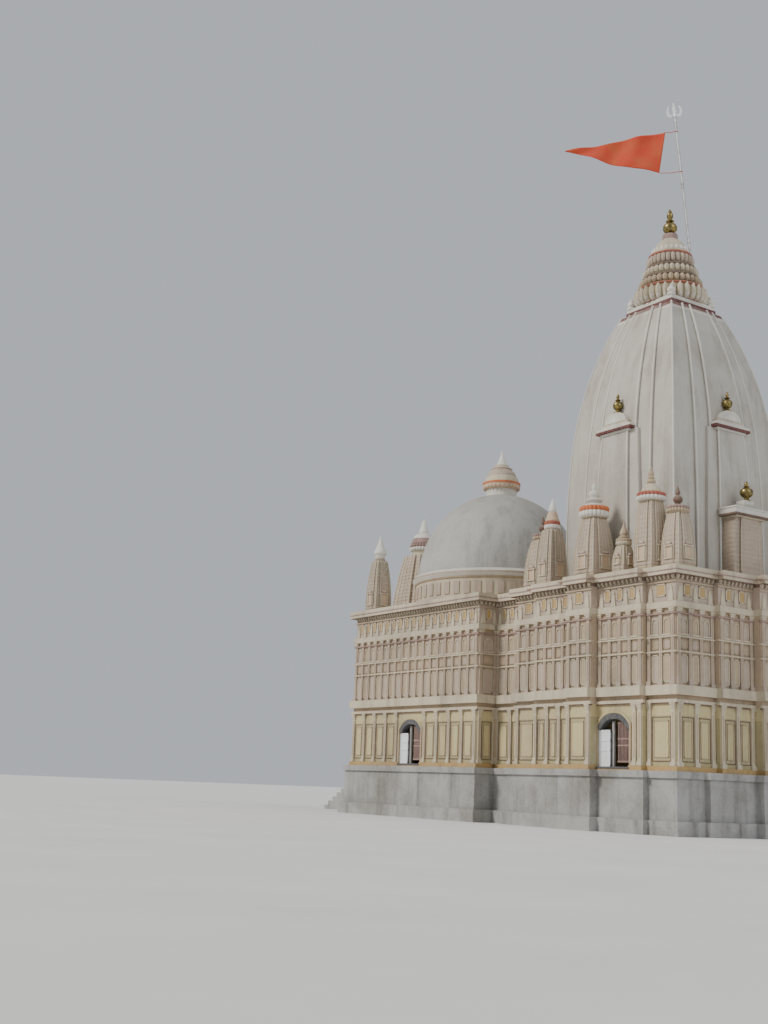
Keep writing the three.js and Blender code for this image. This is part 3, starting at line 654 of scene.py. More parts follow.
def make_camera():
    """The camera stands at the photograph's place, low and to the right of the rear corner."""
    distance, azimuth, eye = 40.0, math.radians(44.0), 1.0
    long_side, focal_pixels = 1024.0, 1300.0
    pixels_above, pixels_aside, roll = 273.0, 294.5, 0.04
    pitch = math.atan(pixels_above / focal_pixels)
    heading = azimuth + math.pi + math.atan(pixels_aside / focal_pixels)
    place = Vector((distance * math.cos(azimuth), distance * math.sin(azimuth), eye))
    forward = Vector((math.cos(heading) * math.cos(pitch), math.sin(heading) * math.cos(pitch),
                      math.sin(pitch)))
    level_right = forward.cross(Vector((0, 0, 1))).normalized()
    level_up = level_right.cross(forward)
    right = level_right * math.cos(roll) + level_up * math.sin(roll)
    up = level_up * math.cos(roll) - level_right * math.sin(roll)
    lens = bpy.data.cameras.new("view")
    lens.sensor_width = 36.0
    lens.lens = focal_pixels / long_side * lens.sensor_width
    lens.clip_end = 400.0
    camera = bpy.data.objects.new("view", lens)
    axes = Matrix((right, up, -forward)).transposed().to_4x4()
    camera.matrix_world = Matrix.Translation(place) @ axes
    bpy.context.scene.collection.objects.link(camera)
    bpy.context.scene.camera = camera


def make_stage():
    """A pale floor, a pale studio sky and two soft lights."""
    floor_mesh = bpy.data.meshes.new("floor")
    reach = 260.0
    corners = [(-reach, -reach, 0), (reach, -reach, 0), (reach, reach, 0), (-reach, reach, 0)]
    floor_mesh.from_pydata(corners, [], [(0, 1, 2, 3)])
    finish = Finish("pale_floor")
    tone = finish.mix((0.74, 0.73, 0.71), (0.68, 0.67, 0.65), finish.spread(finish.noise(0.4, 3), 0.3, 0.7))
    finish.set(Base_Color=tone, Roughness=0.9)
    floor_mesh.materials.append(finish.material)
    floor = bpy.data.objects.new("floor", floor_mesh)
    bpy.context.scene.collection.objects.link(floor)
    world = bpy.data.worlds.new("studio")
    world.use_nodes = True
    backdrop = world.node_tree.nodes["Background"]
    backdrop.inputs["Color"].default_value = (0.80, 0.84, 0.90, 1.0)
    backdrop.inputs["Strength"].default_value = 0.62
    bpy.context.scene.world = world
    for name, way, power, spread, tint in (
        ("key_light", (-1.0, 0.32, -0.85), 2.6, 14.0, (1.0, 0.96, 0.90)),
        ("fill_light", (0.1, -1.0, -0.5), 0.7, 40.0, (0.92, 0.95, 1.0)),
    ):
        glow = bpy.data.lights.new(name, "SUN")
        glow.energy = power
        glow.angle = math.radians(spread)
        glow.color = tint
        light = bpy.data.objects.new(name, glow)
        light.rotation_euler = Vector(way).to_track_quat("-Z", "Y").to_euler()
        bpy.context.scene.collection.objects.link(light)


def paint_solids():
    """Finishes for the solids that stay: cement below, painted plaster on the walls and roofs."""
    cement_nodes = ("plinth", "plinth_foot", "front_steps")
    wall_nodes = (
        "hall_roof", "link_roof", "shrine_wall_left", "shrine_wall_right", "shrine_wall_rear",
        "shrine_wall_front", "link_wall_left", "link_wall_right", "hall_wall_left", "hall_wall_right",
        "hall_rear_wall_left", "hall_rear_wall_right", "hall_front_wall",
    )
    for names, finish in ((cement_nodes, cement), (wall_nodes, wall_bands)):
        for name in names:
            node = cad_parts[name]
            if not node.material_slots:
                node.data.materials.append(finish)
            for place in node.material_slots:
                place.material = finish


# The main spire

def spire_width(z):
    """The main spire's width at a height, as a share of its foot's."""
    climb = (z - SPIRE_FOOT) / (SPIRE_TOP - SPIRE_FOOT)
    return 1 - SPIRE_NARROWING * max(climb, 0.0) ** SPIRE_CURVE


def make_spire():
    """The main spire: smooth curved plaster with light beads along the edges of its stepped faces."""
    rise = SPIRE_TOP - SPIRE_FOOT
    draw_in = {"Foot": SPIRE_FOOT, "Rise": rise, "Narrowing": SPIRE_NARROWING, "Power": SPIRE_CURVE}
    courses = 56
    heights = [SPIRE_FOOT + rise * i / courses for i in range(courses + 1)]
    plan = stepped_plan(SPIRE_HALF, SPIRE_STEPS)
    straight = Form()
    straight.storeys(plan, [(z, 1.0) for z in heights], (0, 0), plaster, cut=0.03)
    form = Form()
    form.take(grown(NARROWING, straight.mesh(), plaster, **draw_in))
    edges = [(1.0, 1.0, 0.026)] + [(way * share, out, 0.034) for share, out in SPIRE_STEPS for way in (1, -1)]
    for turn in QUARTERS:
        for aside, out, radius in edges:
            line = line_mesh([(SPIRE_HALF * out, SPIRE_HALF * aside, z) for z in heights])
            curved = grown(NARROWING, line, plaster_light, **draw_in)
            form.take(grown(BEAD, curved, plaster_light, Radius=radius), turn)
    form.piece("spire_skin", ["spire"])


# A kalasha's shares of its radius and of its rise
KALASHA = (
    (0.72, 0.0), (0.86, 0.02), (0.86, 0.06), (0.5, 0.1), (0.36, 0.15), (0.5, 0.19), (0.84, 0.26),
    (1.0, 0.36), (1.0, 0.45), (0.84, 0.54), (0.5, 0.6), (0.3, 0.63), (0.46, 0.655), (0.6, 0.68),
    (0.46, 0.71), (0.22, 0.74), (0.3, 0.8), (0.34, 0.85), (0.24, 0.93), (0.08, 0.98), (0.01, 1.0),
)


def make_face_spires():
    """The half spires on the four faces, each with a dark red eave, a pale pediment and a brass kalasha."""
    half, face, strip, back, inside = 1.08, 2.52, 0.648, 1.6, 1.3
    eave_foot, eave_top, eave_half, eave_reach = 11.65, 11.81, 0.73, 0.12
    courses = 28
    outline = eased(faced_plan(back, face, half, strip, step=0.07), 0.02)
    front = face * spire_width(eave_foot)
    ledges = (
        # how far out, half width, from height, to height, finish
        (0.05, eave_half - 0.12, eave_foot - 0.05, eave_foot + 0.01, plaster_light),
        (eave_reach, eave_half, eave_foot + 0.01, eave_foot + 0.085, dark_red),
        (eave_reach - 0.02, eave_half - 0.02, eave_foot + 0.085, eave_top, plaster_light),
        (0.05, 0.56, eave_top - 0.01, eave_top + 0.07, plaster_light),
        (0.03, 0.52, eave_top + 0.07, eave_top + 0.14, cream),
    )
    arch_foot, steps = eave_top + 0.13, 12
    angles = [math.pi * i / steps for i in range(steps + 1)]
    arch = [(0.45 * math.cos(angle), 0.31 * math.sin(angle) ** 0.8) for angle in angles]
    for name, turn in zip(("right", "rear", "left", "front"), QUARTERS):
        form = Form()
        rings, edges = [], {-1: [], 1: []}
        for i in range(courses + 1):
            t = i / courses
            z = SPIRE_FOOT + (eave_foot - SPIRE_FOOT) * t
            depth, width = spire_width(z), 1 - 0.2 * t ** 2.6
            rings.append([turn @ Vector((x * depth, y * width, z)) for x, y in outline])
            for way, points in edges.items():
                points.append(turn @ Vector((face * depth, way * strip * width, z)))
        form.loft(rings, plaster)
        for points in edges.values():
            form.bead(points, plaster_light, 0.028)
        for out, wide, low, high, finish in ledges:
            form.slab(turn, (inside, front + out), (-wide, wide), (low, high), finish)
        for out, share, finish in ((0.015, 1.0, plaster_light), (0.03, 0.6, white)):
            form.loft([[turn @ Vector((x, y * share, arch_foot + z * share)) for y, z in arch]
                       for x in (inside, front + out)], finish)
        foot, top = eave_top + 0.43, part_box(f"face_spire_{name}")[1].z
        centre = turn @ Vector((front - 0.11, 0, 0))
        pot = [(share * 0.15, foot + up * (top - foot)) for share, up in KALASHA]
        form.turned(centre[:2], smoothed(pot), brass, 28)
        form.piece(f"face_spire_skin_{name}", [f"face_spire_{name}"], bevel=0.01)


def make_shoulder():
    """The slab over the spire: a dark red and white edge, and a knob on each corner."""
    low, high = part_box("spire_shoulder")
    half, foot, top = high.x, low.z, 16.15
    form = Form()
    levels = ((foot, 0.95), (foot + 0.05, 0.99), (foot + 0.055, 1.0), (foot + 0.16, 1.0), (foot + 0.19, 0.98),
              (foot + 0.26, 0.97), (top, 0.96))
    paints = [dark_red, dark_red, dark_red, plaster_light, plaster_light, white]
    form.storeys(stepped_plan(half, ()), levels, (0, 0), paints)
    knob = ((0.12, 0.0), (0.135, 0.03), (0.13, 0.07), (0.085, 0.1), (0.11, 0.14), (0.125, 0.19), (0.1, 0.25),
            (0.05, 0.3), (0.055, 0.32), (0.03, 0.36), (0.004, 0.4))
    corner = half - 0.12
    for x in (-corner, corner):
        for y in (-corner, corner):
            form.turned((x, y), smoothed(raised(knob, top - 0.02)), white, 20)
    form.piece("shoulder_skin", ["spire_shoulder"], bevel=0.008)


CROWN_RINGS = (
    # foot, top, radius, ribs, rib finish, line finish
    (16.15, 16.72, 1.17, 30, cream, coral),
    (16.72, 17.08, 1.01, 32, tan, brown),
    (17.08, 17.44, 0.89, 30, cream, brown),
    (17.44, 17.9, 0.76, 28, peach, coral),
)


def make_crown():
    """A ring of petals, three fluted rings, painted lines between them, and a bell on top."""
    form = Form()
    for foot, top, radius, ribs, paint, line in CROWN_RINGS:
        rise, inner = top - foot, radius * 0.8
        core = [(inner, foot), (radius * 0.84, foot + 0.03), (radius * 0.86, top - 0.06), (inner, top)]
        form.turned((0, 0), core, [line, paint, line], 64)
        width = TURN * radius / ribs
        if foot == CROWN_RINGS[0][0]:
            tall = petal(width * 1.02, rise * 0.86, radius * 0.17)
            short = petal(width * 0.8, rise * 0.5, radius * 0.19)
            form.ring_of(tall, paint, ribs, radius * 0.83, foot + 0.03)
            form.ring_of(short, plaster_light, ribs, inner, foot + 0.02)
        else:
            form.ring_of(lobe(width * 1.05, rise * 0.74, radius * 0.2), paint, ribs, inner, foot + 0.05)
        edge = [(inner, top - 0.075), (radius * 0.9, top - 0.07), (radius * 0.92, top - 0.04),
                (radius * 0.9, top - 0.015), (radius * 0.78, top)]
        form.turned((0, 0), edge, [line, line, line, paint], 64)
    bell = ((0.60, 17.9), (0.6, 17.96), (0.57, 18.03), (0.53, 18.11), (0.49, 18.19), (0.45, 18.26),
            (0.40, 18.33), (0.33, 18.39), (0.27, 18.42), (0.25, 18.46))
    form.turned((0, 0), smoothed(bell, 2), cream, 64)
    form.ring_of(petal(0.15, 0.2, 0.06), white, 22, 0.54, 17.92)
    form.piece("crown_skin", ["spire_crown"])


def make_kalasha():
    """The brass kalasha on a rose neck."""
    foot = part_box("spire_kalasha")[0].z
    form = Form()
    pot = ((0.20, -0.05), (0.24, -0.03), (0.24, 0.15), (0.19, 0.175), (0.12, 0.205), (0.12, 0.225),
           (0.165, 0.26), (0.21, 0.32), (0.228, 0.39), (0.22, 0.46), (0.18, 0.53), (0.11, 0.57),
           (0.075, 0.59), (0.12, 0.62), (0.14, 0.645), (0.10, 0.67), (0.055, 0.70), (0.09, 0.76),
           (0.105, 0.83), (0.09, 0.91), (0.05, 0.96), (0.06, 0.985), (0.04, 1.02), (0.006, 1.07))
    outline = smoothed(raised(pot, foot), 4)
    paints = [rose if (a[1] + b[1]) / 2 < foot + 0.17 else brass for a, b in zip(outline, outline[1:])]
    form.turned((0, 0), outline, paints, 40)
    form.piece("kalasha_skin", ["spire_kalasha"])


# Finials of the small spires: radius and height over the ground
BEADS = (
    (0.30, 9.23), (0.26, 9.29), (0.16, 9.33), (0.235, 9.39), (0.24, 9.44), (0.12, 9.49), (0.15, 9.55),
    (0.165, 9.62), (0.14, 9.68), (0.055, 9.72), (0.07, 9.79), (0.06, 9.86), (0.008, 9.95),
)
COLUMN = (
    (0.29, 9.31), (0.28, 9.37), (0.24, 9.44), (0.19, 9.50), (0.145, 9.545), (0.09, 9.57), (0.125, 9.61),
    (0.12, 9.66), (0.085, 9.70), (0.105, 9.75), (0.075, 9.80), (0.09, 9.85), (0.07, 9.91), (0.045, 9.95),
    (0.05, 9.99), (0.008, 10.08),
)
SIDE_BELL = (
    (0.215, 9.04), (0.21, 9.09), (0.185, 9.15), (0.165, 9.22), (0.145, 9.29), (0.125, 9.33), (0.09, 9.345),
    (0.115, 9.37), (0.11, 9.43), (0.09, 9.51), (0.055, 9.63), (0.008, 9.75),
)
HALL_BELL = (
    (0.17, 9.17), (0.17, 9.20), (0.225, 9.25), (0.235, 9.31), (0.20, 9.38), (0.15, 9.48), (0.11, 9.60),
    (0.055, 9.77), (0.008, 9.95),
)
LOW_CONE = ((0.13, 8.09), (0.15, 8.14), (0.09, 8.18), (0.12, 8.24), (0.10, 8.32), (0.04, 8.46), (0.006, 8.60))
LOW_JAR = (
    (0.14, 8.84), (0.10, 8.88), (0.06, 8.91), (0.115, 8.97), (0.135, 9.04), (0.10, 9.11), (0.045, 9.15),
    (0.07, 9.21), (0.05, 9.29), (0.006, 9.42),
)
SMALL_SPIRES = {
    # share drawn in; disc foot, top and radius, upper and lower finish;
    # finial outline, lower and upper finish
    "side_spire": (SMALL_NARROWING, 8.88, 9.24, 0.45, orange, white, BEADS, plaster_light, plaster_light),
    "corner_disc_spire": (0.33, 9.06, 9.32, 0.42, coral, white, COLUMN, cream, tan),
    "side_pinnacle": (0.34, 8.78, 9.06, 0.25, coral, white, SIDE_BELL, apricot, white),
    "low_pinnacle": (SMALL_NARROWING, 7.9, 8.1, 0.23, tan, cream, LOW_CONE, tan, tan),
    "hall_pinnacle": (SMALL_NARROWING, 9.0, 9.18, 0.19, white, cream, HALL_BELL, white, white),
    # The two corner spires carry painted shade: their finials are dark brown and their discs a subdued rose
    # over tan, for the shade that the rear corner stands in
    "rear_corner_spire": (SMALL_NARROWING, 8.65, 8.85, 0.33, rose, tan, LOW_JAR, brown, brown),
    "front_corner_spire": (SMALL_NARROWING, 8.65, 8.85, 0.33, rose, tan, LOW_JAR, brown, brown),
}

# Upright ribs on each face of a small spire: shares of its half width outward and aside, and their radius
RIBS = (
    (STRIP_OUT, -0.5, 0.016), (STRIP_OUT, -0.17, 0.012), (STRIP_OUT, 0.17, 0.012), (STRIP_OUT, 0.5, 0.016),
    (1.0, -0.76, 0.012), (1.0, 0.76, 0.012), (1.0, 1.0, 0.016),
)


def small_width(z, foot, top, narrowing):
    """A small spire's width at a height, as a share of its foot's."""
    return 1 - narrowing * ((z - foot) / (top - foot)) ** SMALL_CURVE


def spire_courses(foot, top, narrowing):
    """Levels and finishes of a small spire's body: two base courses, then grooved courses up to the neck."""
    levels = [(foot, 1.0), (foot + 0.07, 1.0), (foot + 0.075, 0.95), (foot + 0.1, 0.95), (foot + 0.105, 1.0),
              (foot + 0.19, 1.0), (foot + 0.2, 0.96)]
    paints = [tan, tan, cream, cream, peach, peach]
    courses = max(5, round((top - foot) / 0.15))
    start = foot + 0.2
    for i in range(courses):
        z0, z1 = (start + (top - start) * number / courses for number in (i, i + 1))
        for z, shrink in ((z0 + 0.01, 1.0), (z1 - 0.02, 1.0), (z1 - 0.012, 0.98), (z1, 0.98)):
            share = 0.96 * shrink if z < top else 0.93
            levels.append((z, small_width(z, foot, top, narrowing) * share))
            paints.append(peach)
    return levels, paints


def add_ribs(form, centre, half, foot, neck, narrowing=SMALL_NARROWING, thicker=1.0):
    """Beads up the four faces and the corners of a small spire's body."""
    for turn in QUARTERS:
        for out, aside, radius in RIBS:
            points = []
            for i in range(13):
                z = foot + 0.21 + (neck - foot - 0.23) * i / 12
                reach = half * small_width(z, foot, neck, narrowing) * 0.962
                points.append(centre + turn @ Vector((out * reach, aside * reach, z)))
            form.bead(points, cream, radius * thicker)


def niche(form, turn, centre, half, foot, rise, out):
    """A small niche in relief: a frame, a flat back, a ledge and a stepped head."""
    wide, head = half * 0.3, foot + rise
    plates = (
        # span, from height, to height, how far out, finish
        ((-wide, wide), foot, head, 0.006, apricot),
        (beside(0, -1, wide, wide * 0.72), foot, head, 0.03, cream),
        (beside(0, 1, wide, wide * 0.72), foot, head, 0.03, cream),
        ((-wide * 1.15, wide * 1.15), foot - 0.04, foot, 0.045, cream),
        ((-wide * 1.2, wide * 1.2), head, head + 0.035, 0.05, cream),
        ((-wide * 0.85, wide * 0.85), head + 0.035, head + 0.08, 0.035, rose),
        ((-wide * 0.5, wide * 0.5), head + 0.08, head + 0.13, 0.03, cream),
    )
    for y, low, high, depth, finish in plates:
        form.slab(turn, (out - 0.06, out + depth), y, (low, high), finish, centre)


def fluted_disc(form, centre, foot, top, radius, upper_paint, lower_paint, ribs=22):
    """A round cushion of ribs in two finishes, one over the other."""
    rise = top - foot
    width = TURN * radius / ribs * 1.02
    core = [(radius * 0.75, foot), (radius * 0.86, foot + rise * 0.2), (radius * 0.86, foot + rise * 0.55),
            (radius * 0.86, foot + rise * 0.8), (radius * 0.5, top)]
    form.turned(centre, core, [lower_paint, lower_paint, upper_paint, upper_paint], 40)
    lower = lobe(width, rise * 0.5, radius * 0.16)
    upper = lobe(width, rise * 0.46, radius * 0.15)
    form.ring_of(lower, lower_paint, ribs, radius * 0.84, foot + rise * 0.06, centre)
    form.ring_of(upper, upper_paint, ribs, radius * 0.83, foot + rise * 0.5, centre)
    cap = [(radius * 0.72, top - rise * 0.12), (radius * 0.6, top - 0.005), (radius * 0.42, top + 0.01),
           (radius * 0.34, top + 0.03)]
    form.turned(centre, smoothed(cap), upper_paint, 32)


def small_spire(name, node, narrowing, disc_foot, disc_top, disc_radius, upper_paint, lower_paint, finial,
                finial_foot, finial_top):
    """One small spire on a wall top: grooved body, ribs, niches, a fluted disc and its finial."""
    middle, reach, foot, _ = stance(node)
    centre, half = Vector((*middle, 0)), reach / STRIP_OUT
    form = Form()
    levels, paints = spire_courses(foot, disc_foot, narrowing)
    form.storeys(stepped_plan(half, SMALL_STEPS), levels, centre[:2], paints)
    for turn in QUARTERS:
        niche(form, turn, centre, half * 1.3, foot + 0.26, (disc_foot - foot) * 0.2, half * STRIP_OUT * 0.96)
    add_ribs(form, centre, half, foot, disc_foot, narrowing)
    rise = disc_top - disc_foot
    neck = [(half * (0.98 - narrowing), disc_foot - 0.02), (disc_radius * 0.8, disc_foot),
            (disc_radius * 0.72, disc_foot + rise * 0.1)]
    form.turned(centre[:2], neck, cream, 32)
    fluted_disc(form, centre[:2], disc_foot, disc_top, disc_radius, upper_paint, lower_paint)
    outline = smoothed(finial)
    paints = [finial_foot if z < disc_top + 0.275 else finial_top for _, z in outline[1:]]
    form.turned(centre[:2], outline, paints, 24)
    form.piece(name, [node], bevel=0.006)


def make_rear_spire():
    """The half spire against the rear face spire: grooved body, eave with a brown course of painted shade
    under its lip, pedestal and a round brass finial.
    """
    half, strip, face, back = 0.62, 0.38, 3.05, 2.521
    foot, eave, eave_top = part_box("rear_spire")[0].z, 8.93, 9.18
    turn = QUARTERS[1]
    form = Form()

    def width_at(z):
        return small_width(z, foot, eave, 0.12)

    plan = faced_plan(back, face, half, strip, step=0.06)
    levels, paints = spire_courses(foot, eave, 0.0)
    rings = []
    for z, scale in levels:
        inset = (1.0 - scale) * 0.4
        rings.append([turn @ Vector((max(x - inset, back), (y - math.copysign(inset, y)) * width_at(z), z))
                      for x, y in plan])
    form.loft(rings, paints)
    heights = [foot + 0.2 + (eave - foot - 0.22) * i / 14 for i in range(15)]
    for way in (-1, 1):
        form.bead([turn @ Vector((face - 0.02, way * strip * width_at(z), z)) for z in heights], cream, 0.018)
    # The brown course just over the eave's foot is painted shade: the dark line of shadow under the eave's
    # light lip
    for start, out, wide, low, high, finish in (
        (back, 0.04, 0.62, eave - 0.05, eave, cream),
        (back, 0.1, 0.72, eave, eave + 0.06, brown),
        (back, 0.085, 0.70, eave + 0.06, eave_top - 0.05, plaster_light),
        (back, 0.1, 0.72, eave_top - 0.05, eave_top, plaster_light),
        (2.69, 0.0, 0.24, eave_top, 9.3, plaster),
        (2.72, -0.03, 0.2, 9.3, 9.42, plaster_light),
    ):
        form.slab(turn, (start, face + out), (-wide, wide), (low, high), finish)
    pot = ((0.11, 9.41), (0.11, 9.44), (0.07, 9.48), (0.07, 9.51), (0.13, 9.555), (0.18, 9.615),
           (0.19, 9.68), (0.17, 9.75), (0.10, 9.805), (0.055, 9.83), (0.10, 9.85), (0.055, 9.87),
           (0.06, 9.92), (0.045, 9.965), (0.005, 10.0))
    centre = turn @ Vector((2.93, 0, 0))
    form.turned(centre[:2], smoothed(pot), brass, 28)
    form.piece("rear_spire_skin", ["rear_spire"], bevel=0.006)


def make_small_spires():
    for name, facts in SMALL_SPIRES.items():
        for side in ("left", "right"):
            small_spire(f"{name}_skin_{side}", f"{name}_{side}", *facts)


def make_porch_spire():
    """The larger ribbed spire on the porch, with a collar, a fluted disc and a bell."""
    centre, reach, foot, _ = stance("porch_spire")
    half, neck = reach / STRIP_OUT, 9.79
    form = Form()
    levels, paints = spire_courses(foot, neck, SMALL_NARROWING)
    form.storeys(stepped_plan(half, SMALL_STEPS), levels, centre, paints, cut=0.02)
    add_ribs(form, Vector((*centre, 0)), half, foot, neck, thicker=1.8)
    collar = [(0.5, neck - 0.01), (0.45, neck + 0.04), (0.42, neck + 0.1), (0.44, neck + 0.17)]
    form.turned(centre, collar, cream, 40)
    fluted_disc(form, centre, 9.96, 10.26, 0.55, rose, white, ribs=28)
    bell = ((0.48, 10.25), (0.48, 10.31), (0.445, 10.40), (0.395, 10.51), (0.345, 10.61), (0.27, 10.67),
            (0.19, 10.71), (0.195, 10.77), (0.155, 10.88), (0.12, 11.0), (0.085, 11.12), (0.008, 11.28))
    outline = smoothed(bell)
    form.turned(centre, outline, [rose if z < 10.5 else white for _, z in outline[1:]], 32)
    form.piece("porch_spire_skin", ["porch_spire"], bevel=0.01)


# The dome over the hall

DOME_CENTRE = (0.0, HALL_MID)


def make_drum():
    """The dome's drum: a moulded foot and lip, and flat strips round its body."""
    low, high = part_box("dome_drum")
    foot, top, radius = low.z, high.z, high.x
    inner, body = 2.53, 2.98
    outline = [(inner, foot), (radius, foot), (radius, foot + 0.2), (radius - 0.03, foot + 0.24),
               (body, foot + 0.3), (body, top - 0.34), (body + 0.04, top - 0.31), (body + 0.05, top - 0.26),
               (radius - 0.02, top - 0.2), (radius, top - 0.17), (radius, top - 0.1),
               (radius - 0.03, top - 0.07), (body + 0.02, top), (inner, top)]
    paints = [cream, peach, peach, cream, cream, tan, tan, plaster_light, plaster_light, peach, plaster_light,
              plaster_light, plaster_light, cream]
    form = Form()
    form.hoop(DOME_CENTRE, outline, paints, 120)
    strip = Form()
    strip.block((-0.05, -0.11, 0), (0.03, 0.11, 0.42), peach)
    form.ring_of(strip.mesh(), peach, 48, body, foot + 0.34, DOME_CENTRE)
    form.piece("drum_skin", ["dome_drum"])


def make_dome():
    """The hall's smooth dome, a shell of plaster."""
    low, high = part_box("dome")
    springing, courses = low.z, 32
    rise, width, shell = 3.12, 2.9, 0.23
    top_angle = math.asin((high.z - springing) / rise)
    angles = [top_angle * i / courses for i in range(courses + 1)]
    outer = [(width * math.cos(angle), springing + rise * math.sin(angle)) for angle in angles]
    inner = [(r * (width - shell) / width, springing + (z - springing) * (rise - shell) / rise)
             for r, z in outer]
    outline = outer + inner[::-1]
    form = Form()
    form.hoop(DOME_CENTRE, outline, [rough_plaster] * len(outline), 96)
    form.piece("dome_skin", ["dome"])


def make_dome_crown():
    """A collar of petals and a round cushion with an orange line."""
    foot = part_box("dome_crown")[0].z
    collar = ((0.56, 0.0), (0.56, 0.04), (0.55, 0.09), (0.535, 0.15), (0.53, 0.26), (0.55, 0.28))
    cushion = ((0.55, 0.27), (0.62, 0.31), (0.66, 0.37), (0.67, 0.45))
    line = ((0.65, 0.445), (0.685, 0.455), (0.685, 0.52), (0.64, 0.535))
    upper = ((0.65, 0.53), (0.63, 0.59), (0.60, 0.67), (0.575, 0.71), (0.54, 0.76))
    form = Form()
    form.turned(DOME_CENTRE, smoothed(raised(collar, foot)), plaster_light, 64)
    form.turned(DOME_CENTRE, smoothed(raised(cushion, foot)), apricot, 64)
    form.turned(DOME_CENTRE, raised(line, foot), orange, 64)
    form.turned(DOME_CENTRE, smoothed(raised(upper, foot)), cream, 64)
    form.ring_of(petal(0.15, 0.2, 0.03), plaster_light, 24, 0.53, foot + 0.06, DOME_CENTRE)
    form.ring_of(lobe(0.17, 0.17, 0.05), apricot, 26, 0.63, foot + 0.28, DOME_CENTRE)
    form.piece("dome_crown_skin", ["dome_crown"])


def make_dome_finial():
    """A stepped cone over a row of petals."""
    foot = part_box("dome_finial")[0].z
    form = Form()
    cone = ((0.54, 0.0), (0.53, 0.05), (0.50, 0.10), (0.45, 0.16), (0.41, 0.22), (0.375, 0.28),
            (0.38, 0.31), (0.30, 0.35), (0.25, 0.39), (0.255, 0.43), (0.20, 0.47), (0.17, 0.51),
            (0.155, 0.56), (0.12, 0.63), (0.09, 0.71), (0.05, 0.83), (0.008, 1.0))
    outline = smoothed(raised(cone, foot))
    bands = ((0.25, peach), (0.29, rose), (0.43, cream), (2.0, white))
    paints = []
    for (_, z0), (_, z1) in zip(outline, outline[1:]):
        middle = (z0 + z1) / 2 - foot
        paints.append(next(paint for top, paint in bands if middle < top))
    form.turned(DOME_CENTRE, outline, paints, 48)
    form.ring_of(petal(0.12, 0.16, 0.03), cream, 24, 0.46, foot + 0.01, DOME_CENTRE)
    form.piece("dome_finial_skin", ["dome_finial"])


# Relief on the walls

class Facet:
    """An upright wall face: u runs along it, w stands out from it and z is the height."""

    def __init__(self, start, end):
        self.start = Vector((*start, 0))
        run = Vector((*end, 0)) - self.start
        self.length = run.length
        self.along = run.normalized()
        self.out = Vector((self.along.y, -self.along.x, 0))
        # Plates on the left and right faces are a hair off, so that none shares a plane with its neighbour's
        self.nudge = 0.0012 if abs(self.out.x) > 0.5 else 0.0
        self.pilaster_width = 0.12 if self.length > 0.6 else 0.09

    def at(self, u, w, z):
        return self.start + self.along * u + self.out * w + Vector((0, 0, z))

    def prism(self, form, ring, depth, finish):
        """A ring of (u, z) points on the face, carried from depth to depth."""
        form.loft([[self.at(u, w, z) for u, z in ring] for w in depth], finish)

    def plate(self, form, u, z, out, finish, start=SUNK):
        """A plate from u to u and from z to z that stands out by a measure."""
        left, right, out = u[0] + self.nudge, u[1] - self.nudge, out + self.nudge
        ring = ((left, start), (right, start), (right, out), (left, out))
        form.loft([[self.at(a, b, height + self.nudge) for a, b in ring] for height in z], finish)

    def band(self, form, z, out, finish, doorway=None):
        """A level strip along the whole face, round its corners; it stops at each side of a doorway."""
        left, right = -out, self.length + out
        for run in ((left, doorway[0]), (doorway[1], right)) if doorway else ((left, right),):
            self.plate(form, run, z, out, finish)

    def shared(self, pitch, inset):
        """How many copies fit between two insets, and how far apart they then stand."""
        span = self.length - 2 * inset
        count = int(span / pitch) + 1
        return count, span / (count - 1) if count > 1 else 0.0

    def row(self, form, base, finish, pitch, z, inset, w=0.0):
        """Copies of a small shape along the face; the shape looks along +X."""
        count, gap = self.shared(pitch, inset)
        start = self.at(inset if count > 1 else self.length / 2, w, z)
        angle = math.atan2(self.out.y, self.out.x)
        step = tuple(self.along * gap)
        form.take(grown(ROW, base, finish, Count=count, Start=tuple(start), Step=step, Turn=angle))


def pilaster(facet, form, u, low, high, finish):
    """An engaged pilaster with a moulded base and a stepped capital."""
    half = facet.pilaster_width / 2
    facet.plate(form, (u - half, u + half), (low, high), 0.045, finish)
    facet.plate(form, (u - half * 0.4, u + half * 0.4), (low + 0.2, high - 0.26), 0.052, tan, start=0.03)
    for rise, spread, out in ((0.09, 0.028, 0.075), (0.13, 0.014, 0.06)):
        facet.plate(form, (u - half - spread, u + half + spread), (low, low + rise), out, finish)
    for drop, spread, out in ((0.05, 0.036, 0.085), (0.1, 0.024, 0.072), (0.15, 0.012, 0.06)):
        foot = high - drop
        facet.plate(form, (u - half - spread, u + half + spread), (foot, foot + 0.045), out, cream)


def panel(facet, form, u, z, field, frame_paint=cream, edge=0.03, out=0.008):
    """A painted field inside a raised frame."""
    (u0, u1), (z0, z1) = u, z
    facet.plate(form, u, z, out, field)
    rails = ((u, (z0, z0 + edge)), (u, (z1 - edge, z1)), ((u0, u0 + edge), z), ((u1 - edge, u1), z))
    for span, tall in rails:
        facet.plate(form, span, tall, out + 0.014, frame_paint)


def arch_panel(facet, form, u, z, field):
    """A shallow niche in relief: side strips, a round head and a small ledge under it."""
    (u0, u1), (z0, z1) = u, z
    middle, half = (u0 + u1) / 2, (u1 - u0) / 2
    spring = z1 - half * 1.15 - 0.06
    facet.plate(form, u, z, 0.006, field)
    for way in (-1, 1):
        facet.plate(form, beside(middle, way, half, half * 0.82), (z0, spring), 0.03, cream)
    steps = 10
    for i in range(steps):
        ring = []
        for step, share in ((i, 1.0), (i + 1, 1.0), (i + 1, 0.8), (i, 0.8)):
            angle = math.pi * step / steps
            reach, rise = half * share, half * 1.1 * share
            ring.append((middle + reach * math.cos(angle), spring + rise * math.sin(angle)))
        facet.prism(form, ring, (SUNK, 0.034), cream)
    facet.plate(form, (u0 - 0.03, u1 + 0.03), (z0 - 0.045, z0), 0.05, cream)


